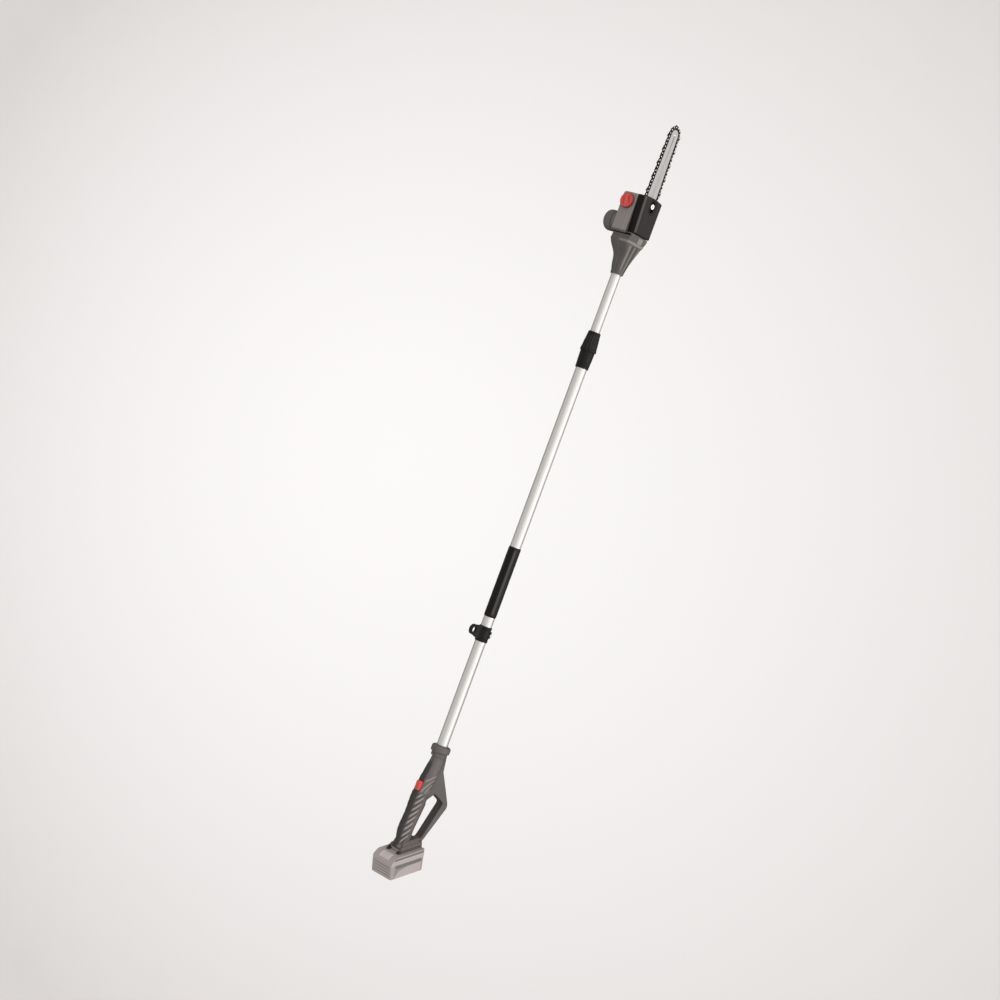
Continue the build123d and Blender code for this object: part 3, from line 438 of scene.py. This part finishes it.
def write_value(mesh, name, values):
    """Store a 0..1 value per vertex for the materials to read."""
    attribute = mesh.attributes.new(name, "FLOAT", "POINT")
    attribute.data.foreach_set("value", np.clip(values, 0, 1).astype(np.float32))


CAD_LIMITS = np.array((cad_low, cad_high)) / MM
SMOOTHING_PAIR, SMOOTHING_PASSES = (0.5, -0.52), 4         # in, then slightly further out, to keep the size
RELIEF_SMOOTHING = 0.4
# Convex edges grow paler between these bends: partly worn, partly painted highlight.
WEAR_AND_HIGHLIGHT_FROM, WEAR_AND_HIGHLIGHT_MOST = 0.12, 0.35                          # bend of an edge, per millimetre
# Painted shade in concave creases: its gain, where it starts and its most.
CREASE_SHADE_GAIN, CREASE_SHADE_FROM, CREASE_SHADE_MOST = 1.6, 0.1, 0.7


def sculpt(name, node, form, voxel):
    """Rebuild a moulded CAD node as a detailed piece.

    It gets an even skin of voxel millimetres, the relief that form gives, softened edges, and two values for
    the materials:
    paler convex edges, partly worn and partly painted highlight, together with the painted highlights that form
    gives; and painted shade in its creases, together with the painted shade and dark seams that form gives.
    """
    mesh = even_skin(node, voxel)
    pairs = np.empty(len(mesh.edges) * 2, np.int32)
    mesh.edges.foreach_get("vertices", pairs)
    ends = pairs.reshape(-1, 2).T
    valence = np.maximum(np.bincount(pairs, minlength=len(mesh.vertices)), 1)
    points = read(mesh, "co") / MM
    for share in SMOOTHING_PAIR * SMOOTHING_PASSES:
        points = points + share * (neighbour_mean(points, ends, valence) - points)
    write(mesh, points)
    normals = read(mesh, "normal")
    lift, light, dark = form(points, normals)
    points = points + lift[:, None] * normals
    points = points + RELIEF_SMOOTHING * (neighbour_mean(points, ends, valence) - points)
    points = np.clip(points, *CAD_LIMITS)
    write(mesh, points)
    normals = read(mesh, "normal")
    first, second = ends
    along = points[second] - points[first]
    bend = np.sum((normals[second] - normals[first]) * along, 1)
    bend = bend / np.maximum(np.sum(along ** 2, 1), 1e-6)
    bend = (np.bincount(first, bend, len(points)) + np.bincount(second, bend, len(points))) / valence
    for _ in range(2):
        bend = neighbour_mean(bend[:, None], ends, valence)[:, 0]
    # Paler convex edges, partly worn and partly painted highlight, plus the form's painted highlights.
    write_value(mesh, "wear_and_highlight", np.clip(bend - WEAR_AND_HIGHLIGHT_FROM, 0, WEAR_AND_HIGHLIGHT_MOST) + light)
    # Painted shade in concave creases, plus the form's painted shade and the handle's dark seam.
    write_value(mesh, "shade_and_dark_seam", np.clip(-bend * CREASE_SHADE_GAIN - CREASE_SHADE_FROM, 0, CREASE_SHADE_MOST) + dark)
    piece = bpy.data.objects.new(name, mesh)
    scene.collection.objects.link(piece)
    smooth(mesh)
    dress(piece, NODE_SLOT[node])
    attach(piece, NODE_BODY[node])
    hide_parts(node)
    return piece


def outward_share(across, up, normal_across, normal_up, start, full):
    """1 where a surface faces away from the axis at 0, 0 and 0 where it doesn't."""
    reach = np.maximum(np.hypot(across, up), 1e-3)
    return rise((normal_across * across + normal_up * up) / reach, start, full)


# ---------------------------------------------------------------- rear handle and battery
# A form takes a node's points, in millimetres, and its normals.  It gives back, for each point, how far to lift
# it along its normal, how much painted highlight makes it paler and how much painted shade makes it darker; the
# head's pale label and the handle's dark seam ride on these too.
handle_front = node_box("handle_shell_left")[1][0]
GRIP_BACK = (0, 60, 100, 133, 174, 214, 253, 287)         # behind the collar's front edge
GRIP_HEIGHT = (0, 2, 9, 15, 17.5, 21, 21.5, 21.5)         # height of the grip's middle line there
RIB_PITCH, RIB_HEIGHT, RIB_LEAN = 18.0, 1.3, 0.48
RIB_ANGLES, RIB_STRETCH = (18, 68, 8), (138, 276, 5)      # low, high and fade, in degrees and along the grip
ARC_CENTRE_BACK, ARC_CENTRE_Z, ARC_PITCH = 150, -30, 9.5


def handle_form(points, normals):
    """Slanting grip ribs, arcs behind the button, a seam groove and a shallow panel in the neck."""
    x, y, z = points.T
    back = handle_front - x
    middle = np.interp(back, GRIP_BACK, GRIP_HEIGHT)
    angle = np.degrees(np.arctan2(z - middle, np.abs(y)))
    outward = outward_share(y, z - middle, normals[:, 1], normals[:, 2], 0.2, 0.6)
    ribbed = band(angle, *RIB_ANGLES) * band(back, *RIB_STRETCH) * outward
    phase = (back - RIB_LEAN * (angle - 60)) / RIB_PITCH
    ribs = rise(0.5 + 0.5 * np.cos(2 * np.pi * phase), 0.35, 0.8) * ribbed
    turn = np.hypot(back - ARC_CENTRE_BACK, z - ARC_CENTRE_Z)
    arcs = rise(0.5 + 0.5 * np.cos(2 * np.pi * turn / ARC_PITCH), 0.45, 0.8)
    arcs = arcs * band(turn, 42, 78, 3) * band(angle, -10, 58, 8) * band(back, 76, 128, 6) * outward
    panel = band(back, 28, 62, 3) * band(angle, -8, 34, 5) * outward
    seam = band(np.abs(y), 0.0, 0.5, 0.8) * outward
    valleys = ribbed * (1 - ribs)
    lift = RIB_HEIGHT * ribs + 0.9 * arcs - 0.8 * panel - 0.7 * seam
    # Painted highlight on the rib crests that slant toward the light, and on the arcs.
    light = 0.85 * ribs * band(angle, 26, 58, 10) + 0.6 * arcs
    # Painted shade in the rib valleys, on the loop's upward inner faces and on the grip's top and +Y half; the
    # seam is a dark joint.
    loop_inner_shade = band(z, -100, -20, 2) * rise(normals[:, 2], 0.2, 0.6) * band(back, 140, 275, 8)
    far_side_shade = (0.8 * rise(angle, 66, 80) + 0.75 * rise(y, -2, 8)) * band(back, 60, 290, 20) * outward
    dark = 0.55 * valleys + 0.6 * seam + 0.75 * loop_inner_shade + far_side_shade
    return lift, light, np.clip(dark, 0, 0.85)


BATTERY_TILT = math.radians(17.65)
battery_middle = np.array((handle_front - 294.4, 0, 16.7))        # middle of the battery's top face
BATTERY_ALONG = np.array((math.sin(BATTERY_TILT), 0, -math.cos(BATTERY_TILT)))
BATTERY_UP = np.array((math.cos(BATTERY_TILT), 0, math.sin(BATTERY_TILT)))
BATTERY_HALF_WIDTH = 36.6
END_LINES = (-27, -35, -43, -51)                          # heights of the grooves across the battery's ends


def battery_form(points, normals):
    """Stepped side panels with an arched lower panel and lined ends."""
    offset = points - battery_middle
    along, height = offset @ BATTERY_ALONG, offset @ BATTERY_UP
    side = rise(np.abs(points[:, 1]), BATTERY_HALF_WIDTH - 4, BATTERY_HALF_WIDTH - 2)
    side = side * rise(np.abs(normals[:, 1]), 0.5, 0.9)
    inside = band(along, -46, 50, 1.5)
    groove = band(height, -8.5, -4.5, 0.8)
    hollow = band(height, -32, -23.5, 1.0) * inside
    arch_top = np.interp(along, (-48, -30, 5, 60), (-58, -40, -34, -34))
    lower = (1 - rise(height, arch_top - 0.8, arch_top + 0.8)) * inside
    frame_part = (1 - lower) * (1 - rise(height, -23.5, -22)) * inside
    lift = -(1.3 * groove + 1.9 * np.maximum(hollow, frame_part * 0.6)) * side
    end = rise(np.abs(normals @ BATTERY_ALONG), 0.75, 0.95)
    lines = sum(band(height, level - 0.8, level + 0.8, 0.8) for level in END_LINES)
    lines = np.clip(lines, 0, 1) * end
    lift = lift - 0.9 * lines * band(points[:, 1], -25, 25, 2)
    strip = band(height, -21.5, -9.5, 1.0)
    # Painted highlight on the raised side strip and the arched lower panel; painted shade in the grooves, the
    # hollow, the frame round the panels and the end lines.
    light = 0.4 * strip * side + 0.35 * lower * side
    dark = side * (0.75 * groove + 0.55 * hollow + 0.3 * frame_part) + 0.5 * lines
    return lift, light, dark


def latch_form(points, normals):
    """Finger ridges across the battery's release button."""
    along = (points - battery_middle) @ BATTERY_ALONG
    ridges = 0.5 + 0.5 * np.cos(2 * np.pi * along / 4.2)
    top = rise(normals @ BATTERY_UP, 0.3, 0.8) * band(points[:, 1], -12, 12, 1)
    # The whole button is made paler, its ridge crests paler still as painted highlight, and the grooves between
    # them get painted shade.
    return -0.6 * (1 - ridges) * top, 0.75 + 0.2 * ridges, 0.25 * (1 - ridges) * top


def shoe_form(points, normals):
    """A groove round the battery shoe with painted shade in it, a paler band above it as painted highlight, and
    a toe under the grip's heel darkened as painted shade.
    """
    offset = points - battery_middle
    along, height = offset @ BATTERY_ALONG, offset @ BATTERY_UP
    outer = rise(np.abs(points[:, 1]), 14, 17)
    groove = band(height, 5.2, 6.4, 0.8) * outer
    toe = (1 - rise(along, -26, -14)) * 0.95
    return -0.8 * groove, 0.35 * band(height, 8, 13, 2) * outer * (1 - toe), 0.7 * groove + toe


button_low, button_high = node_box("lock_off_button")


def button_form(points, normals):
    """Cross ridges on the lock-off button."""
    middle = (button_low[0] + button_high[0]) / 2
    ridges = 0.5 + 0.5 * np.cos(2 * np.pi * (points[:, 0] - middle) / 4.0)
    top = rise(normals[:, 2], 0.4, 0.8) * rise(points[:, 2], button_high[2] - 5, button_high[2] - 3)
    # Painted highlight on the top, painted shade between the ridges.
    return -0.6 * (1 - ridges) * top, 0.1 * top, 0.35 * (1 - ridges) * top


trigger_back = node_box("trigger")[0][0]
FINGER_PITCH = 22.0


def trigger_form(points, normals):
    """Finger grooves under the trigger."""
    x = points[:, 0]
    waves = 0.5 + 0.5 * np.cos(2 * np.pi * (x - trigger_back) / FINGER_PITCH)
    under = rise(-normals[:, 2], 0.3, 0.8)
    # Painted shade in the finger grooves.
    return -0.8 * waves * under, 0 * x, 0.2 * waves * under


# ---------------------------------------------------------------- pole fittings
clamp_low, clamp_high = node_box("strap_clamp")


def clamp_form(points, normals):
    """Two bands round the strap clamp's ring, and a wide eye with a thick round rim."""
    reach = np.hypot(points[:, 1], points[:, 2])
    x = points[:, 0] - clamp_low[0]
    ring = rise(reach, 15.4, 16.4) * (1 - rise(reach, 19, 21))
    bands = (band(x, 7, 9, 1) + band(x, 33, 35, 1)) * ring
    eye = np.stack((points[:, 0] - (clamp_high[0] - 15.4), points[:, 2] - (clamp_high[2] - 14)), 1)
    eye_reach = np.maximum(np.hypot(*eye.T), 1e-3)
    toward = -(normals[:, 0] * eye[:, 0] + normals[:, 2] * eye[:, 1]) / eye_reach
    hole = rise(toward, 0.3, 0.8) * (1 - rise(eye_reach, 9, 10)) * rise(points[:, 2], 28, 30)
    cheek = rise(np.abs(normals[:, 1]), 0.5, 0.9) * rise(points[:, 2], 30, 34)
    # Painted shade in the two bands.
    return -0.7 * bands - 3.0 * hole - 1.4 * cheek, 0 * x, 0.7 * bands


nut_back = node_box("lock_nut")[0][0]
FLUTES = 18


def nut_form(points, normals):
    """Gripping flutes round the twist nut between two plain bands."""
    x, y, z = points.T
    outward = outward_share(y, z, normals[:, 1], normals[:, 2], 0.3, 0.7) * rise(np.hypot(y, z), 17, 18)
    flutes = 0.5 + 0.5 * np.cos(FLUTES * np.arctan2(z, y))
    grip = band(x - nut_back, 10, 44, 2) * outward
    # Painted highlight on the crests between the flutes, painted shade in the flutes.
    return -1.1 * flutes * grip, 0.35 * (1 - flutes) * grip, 0.35 * flutes * grip


base_back = node_box("lock_base")[0][0]
BASE_GROOVES = (6, 11, 16)                                # distances of the turned grooves from its rear end


def base_form(points, normals):
    """Turned grooves round the lock's base."""
    x, y, z = points.T
    outward = outward_share(y, z, normals[:, 1], normals[:, 2], 0.3, 0.7)
    grooves = sum(band(x - base_back, place, place + 1.2, 0.8) for place in BASE_GROOVES)
    # Painted shade in the grooves.
    return -0.8 * grooves * outward, 0 * x, 0.6 * grooves * outward


foam_low, foam_high = node_box("foam_grip")


def foam_form(points, normals):
    """Rolled ends, a slightly uneven surface and a pale strip along the side that is a painted highlight."""
    x, y, z = points.T
    reach = np.maximum(np.hypot(y, z), 1e-3)
    outward = outward_share(y, z, normals[:, 1], normals[:, 2], 0.2, 0.6)
    from_end = np.minimum(x - foam_low[0], foam_high[0] - x)
    roll = 1.3 * (1 - rise(from_end, 0, 5))
    waves = 0.12 * np.sin(x / 7.3 + 1.7 * np.sin(x / 31)) * np.sin(3 * np.arctan2(z, y) + x / 40)
    # Painted highlight: a stripe along the foam's -Y side.
    scuff_and_sheen = band((z * 0.78 + y * 0.62) / reach, -0.12, 0.12, 0.12) * (y < 0)
    return (waves - 0.15 - roll) * outward, 0.55 * scuff_and_sheen * outward * rise(from_end, 3, 12), 0 * x


# ---------------------------------------------------------------- head
head_back = node_box("head_shell_right")[0][0]
cover_low, cover_high = node_box("sprocket_cover")
motor_low, motor_high = node_box("motor_cover")
cap_low, cap_high = node_box("oil_cap")
nut_middle = node_box("bar_nut")[0][0] + 8.2
COVER_TOPS = (35.5, 43.0)                                 # the chain cover's top edge at its rear and its front
POCKET_STRAIGHT, POCKET_RADIUS = 9, 14                    # the nut pocket's half length and end radius
MOTOR_RIBS, CAP_SCALLOPS = 24, 16


def head_form(points, normals):
    """Ribs along the neck, a raised ring at its wide end, a paler label panel, and painted highlight on the
    gearbox's top.
    """
    x, y, z = points.T
    s = x - head_back
    angle = np.degrees(np.arctan2(z, -y))
    outward = outward_share(y, z, normals[:, 1], normals[:, 2], 0.25, 0.6)
    ribs = rise(0.5 + 0.5 * np.cos(np.radians(angle) * 10), 0.4, 0.8)
    neck = band(s, 14, 78, 3) * outward * rise(-angle, -52, -38)
    ring = band(s, 84, 89, 1.5) * outward * (1 - rise(s, 100, 108))
    label = band(s, 92, 106, 1) * band(z, -14, 4, 1) * rise(-normals[:, 1], 0.5, 0.8)
    gearbox = rise(s, 108, 114)
    lift = 0.9 * (ribs - 0.5) * neck + 0.9 * ring - 0.3 * label
    near = rise(-y, -4, 8)
    top = rise(normals[:, 2], 0.2, 0.7)
    # Painted highlight on the near-side rib crests, the ring and the gearbox's top; the label is paler in its
    # own tone.
    light = (0.45 * ribs * neck + 0.8 * ring) * near + 0.9 * label + 0.6 * gearbox * top
    # Painted shade between the ribs and on the neck's upper side.
    return lift, light, 0.5 * (1 - ribs) * neck + 0.3 * rise(angle, 38, 60) * (1 - gearbox)


def cover_form(points, normals):
    """Chain cover: painted shade on its upward black flank, painted highlight on its pale rounded edge and
    faintly on its face, and painted shade in the sunk line beside the edge and in the pocket round the nut.
    """
    x, y, z = points.T
    below_top = np.interp(x, (cover_low[0], cover_high[0]), COVER_TOPS) - z
    face = rise(-normals[:, 1], 0.6, 0.9) * (1 - rise(y, cover_low[1] + 1.5, cover_low[1] + 3))
    near_face = 1 - rise(y, cover_low[1] + 3, cover_low[1] + 5)
    edge = band(below_top, -2, 6, 1.0) * near_face * rise(x - cover_low[0], 2, 6)
    line = band(below_top, 8.2, 9.6, 0.8) * face
    flank = rise(normals[:, 2], 0.6, 0.9) * (1 - near_face)
    past_nut = np.maximum(np.abs(x - nut_middle) - POCKET_STRAIGHT, 0)
    pocket = band(np.hypot(past_nut, z), 0, POCKET_RADIUS, 1.5)
    lift = -0.9 * line - 0.4 * pocket * face
    # Painted highlight on the rounded edge, and faintly on the face.
    light = 0.5 * edge * rise(-normals[:, 1] + normals[:, 2], 0.6, 1.1)
    light = light + 0.05 * face * (1 - edge) * (1 - pocket)
    # Painted shade on the upward flank, in the sunk line and in the pocket.
    return lift, light, 0.8 * flank + 0.8 * line + 0.7 * pocket * face


def motor_form(points, normals):
    """Step round the motor cap, and ribs along its flank."""
    x, _, z = (points - (motor_low + motor_high) / 2).T
    outward = outward_share(x, z, normals[:, 0], normals[:, 2], 0.4, 0.8)
    depth = points[:, 1] - motor_low[1]
    step = band(depth, 12, 13.6, 0.9) * outward
    ribs = rise(0.5 + 0.5 * np.cos(MOTOR_RIBS * np.arctan2(z, x)), 0.3, 0.8) * band(depth, 2, 9, 1) * outward
    ring = band(np.hypot(x, z), 15, 16.4, 0.9) * rise(normals[:, 1], 0.5, 0.9)
    # Painted highlight on the rib crests, painted shade in the step and the ring.
    return 0.5 * ribs - 0.9 * step - 0.7 * ring, 0.15 * ribs, 0.75 * step + 0.6 * ring


def cap_form(points, normals):
    """Oil cap: scalloped rim and a raised finger bar across the top."""
    x, y, _ = (points - (cap_low + cap_high) / 2).T
    reach = np.hypot(y, x)
    rim = rise(reach, 17, 19) * (1 - rise(np.abs(normals[:, 2]), 0.7, 0.95))
    scallops = rise(0.5 + 0.5 * np.cos(CAP_SCALLOPS * np.arctan2(y, x)), 0.45, 0.85)
    top = rise(normals[:, 2], 0.5, 0.9) * rise(points[:, 2], cap_high[2] - 6, cap_high[2] - 4)
    across = x * 0.35 - y * 0.94
    dents = band(np.abs(across), 5.5, 11, 1.5) * (1 - rise(reach, 13, 15))
    lift = -0.9 * scallops * rim - 1.0 * dents * top
    # Painted shade on the scalloped rim, in the dents and round the top's outer edge; painted highlight on the
    # top.
    dark = 0.75 * rim + 0.04 * dents * top + 0.6 * rise(reach, 16.5, 19.5) * top
    return lift, 0.08 * top * (1 - dents), dark


# visible piece: the CAD node it stands for, its form and its skin's face size in millimetres
PIECES = {
    "handle_half_left": ("handle_shell_left", handle_form, 1.0),
    "handle_half_right": ("handle_shell_right", handle_form, 1.0),
    "battery_top_case": ("battery_case_upper", battery_form, 0.9),
    "battery_bottom_case": ("battery_case_lower", battery_form, 0.9),
    "battery_mount": ("battery_shoe", shoe_form, 0.8),
    "release_button": ("latch_button", latch_form, 0.5),
    "safety_button": ("lock_off_button", button_form, 0.5),
    "switch_trigger": ("trigger", trigger_form, 0.6),
    "strap_ring_clamp": ("strap_clamp", clamp_form, 0.6),
    "twist_lock_base": ("lock_base", base_form, 0.6),
    "twist_lock_nut": ("lock_nut", nut_form, 0.6),
    "front_foam_sleeve": ("foam_grip", foam_form, 0.9),
    "gearbox_half_left": ("head_shell_left", head_form, 0.8),
    "gearbox_half_right": ("head_shell_right", head_form, 0.8),
    "motor_cap": ("motor_cover", motor_form, 0.6),
    "chain_cover": ("sprocket_cover", cover_form, 0.7),
    "oil_filler_cap": ("oil_cap", cap_form, 0.5),
}


def add_pieces():
    for name, (node, form, voxel) in PIECES.items():
        piece = sculpt(name, node, form, voxel)


# ---------------------------------------------------------------- floor and light
# The floor's painted pool of light: its colour in the middle and at the edge.
FLOOR_LIT_MIDDLE, FLOOR_SHADED_EDGE = (0.722, 0.714, 0.712), (0.510, 0.497, 0.490)
FLOOR_FLECK, FLECK_SHARE = (0.7, 0.69, 0.68), (0.03, 0.03, 0.03)
FLOOR_REACH = (0.388, 0.297, 0)               # one over the sweep's half lengths along X and Y, in metres
FLOOR_LIGHT_FALLOFF = 1.65
FLOOR_DROP, FLOOR_HALF = 1.3, 40.0            # depth below the saw and half size, in metres
FLOOR_SHIFT_X, FLOOR_SHIFT_Y = -0.19, 4.82    # the sweep's middle, from the camera's place
SIDE_PLACE, SIDE_SIZE, SIDE_POWER = Vector((0.2, -3.9, -0.5)), (3.8, 0.5), 8.0
SIDE_COLOUR = (1, 0.98, 0.97)
WORLD_DARK = (0.06, 0.06, 0.06)
WORLD_SEEN = (0.72, 0.71, 0.70)               # plain backdrop past the floor, seen by the camera only
# each glow: its direction, the cosines where it starts and is full, and its colour
WORLD_GLOWS = (((0.05, -0.55, 0.84), -0.5, -0.3, (1.0, 0.99, 0.985)),
               ((0.4, -0.9, 0.0), 0.1, 0.8, (1.3, 1.28, 1.27)))


def floor_material():
    """Pale floor with a painted pool of light: it darkens a little away from the middle of the sweep."""
    n = Nodes("floor_paper")
    reach = n.add("ShaderNodeVectorMath", links={0: n.stretched(FLOOR_REACH)}, operation="LENGTH")
    fall = n.add("ShaderNodeMath", {1: FLOOR_LIGHT_FALLOFF}, {0: reach.outputs["Value"]}, operation="POWER")
    # Painted pool of light: darker away from the middle of the sweep.
    paper = n.ramp(fall.outputs[0], 0.0, 1.0, (FLOOR_LIT_MIDDLE, FLOOR_SHADED_EDGE))
    flecks = n.ramp(n.noise(6, 3), 0.35, 0.65, ((0, 0, 0), FLECK_SHARE))
    n.link(n.mixed(flecks, paper, FLOOR_FLECK), "Base Color")
    n.set(Roughness=0.95, Specular_IOR_Level=0.0)
    return n.material


def add_stage():
    mesh = bpy.data.meshes.new("floor")
    corners = [(x * FLOOR_HALF, y * FLOOR_HALF, 0) for x, y in ((-1, -1), (1, -1), (1, 1), (-1, 1))]
    mesh.from_pydata(corners, [], [(0, 1, 2, 3)])
    floor = bpy.data.objects.new("floor", mesh)
    scene.collection.objects.link(floor)
    floor.location = (CAMERA_PLACE.x + FLOOR_SHIFT_X, CAMERA_PLACE.y + FLOOR_SHIFT_Y, cad_low.z - FLOOR_DROP)
    floor.data.materials.append(floor_material())
    floor.visible_glossy = False


def add_world():
    """Soft light from wide glows, and a plain backdrop where the camera sees past the floor."""
    world = bpy.data.worlds.new("studio")
    world.use_nodes = True
    tree = world.node_tree
    direction_seen = tree.nodes.new("ShaderNodeTexCoord").outputs["Generated"]
    glow = None
    for direction, start, full, colour in WORLD_GLOWS:
        facing = tree.nodes.new("ShaderNodeVectorMath")
        facing.operation = "DOT_PRODUCT"
        facing.inputs[1].default_value = Vector(direction).normalized()
        tree.links.new(direction_seen, facing.inputs[0])
        share = tree.nodes.new("ShaderNodeMapRange")
        share.interpolation_type = "SMOOTHSTEP"
        share.inputs["From Min"].default_value = start
        share.inputs["From Max"].default_value = full
        tree.links.new(facing.outputs["Value"], share.inputs["Value"])
        tinted = tree.nodes.new("ShaderNodeVectorMath")
        tinted.operation = "SCALE"
        tinted.inputs[0].default_value = colour
        tree.links.new(share.outputs["Result"], tinted.inputs["Scale"])
        total = tree.nodes.new("ShaderNodeVectorMath")
        tree.links.new(tinted.outputs["Vector"], total.inputs[0])
        total.inputs[1].default_value = WORLD_DARK
        if glow:
            tree.links.new(glow, total.inputs[1])
        glow = total.outputs["Vector"]
    lighting = tree.nodes["Background"]
    tree.links.new(glow, lighting.inputs["Color"])
    backdrop = tree.nodes.new("ShaderNodeBackground")
    backdrop.inputs["Color"].default_value = (*WORLD_SEEN, 1)
    choice = tree.nodes.new("ShaderNodeMixShader")
    tree.links.new(tree.nodes.new("ShaderNodeLightPath").outputs["Is Camera Ray"], choice.inputs[0])
    tree.links.new(lighting.outputs[0], choice.inputs[1])
    tree.links.new(backdrop.outputs[0], choice.inputs[2])
    tree.links.new(choice.outputs[0], tree.nodes["World Output"].inputs["Surface"])
    scene.world = world


def add_light():
    middle = (cad_low + cad_high) / 2
    area_light("side_strip", middle + SIDE_PLACE, middle, SIDE_SIZE, SIDE_POWER, SIDE_COLOUR)
    add_world()


scene.view_settings.view_transform = "Standard"
dress_cad_nodes()
add_pieces()
add_camera()
add_stage()
add_light()
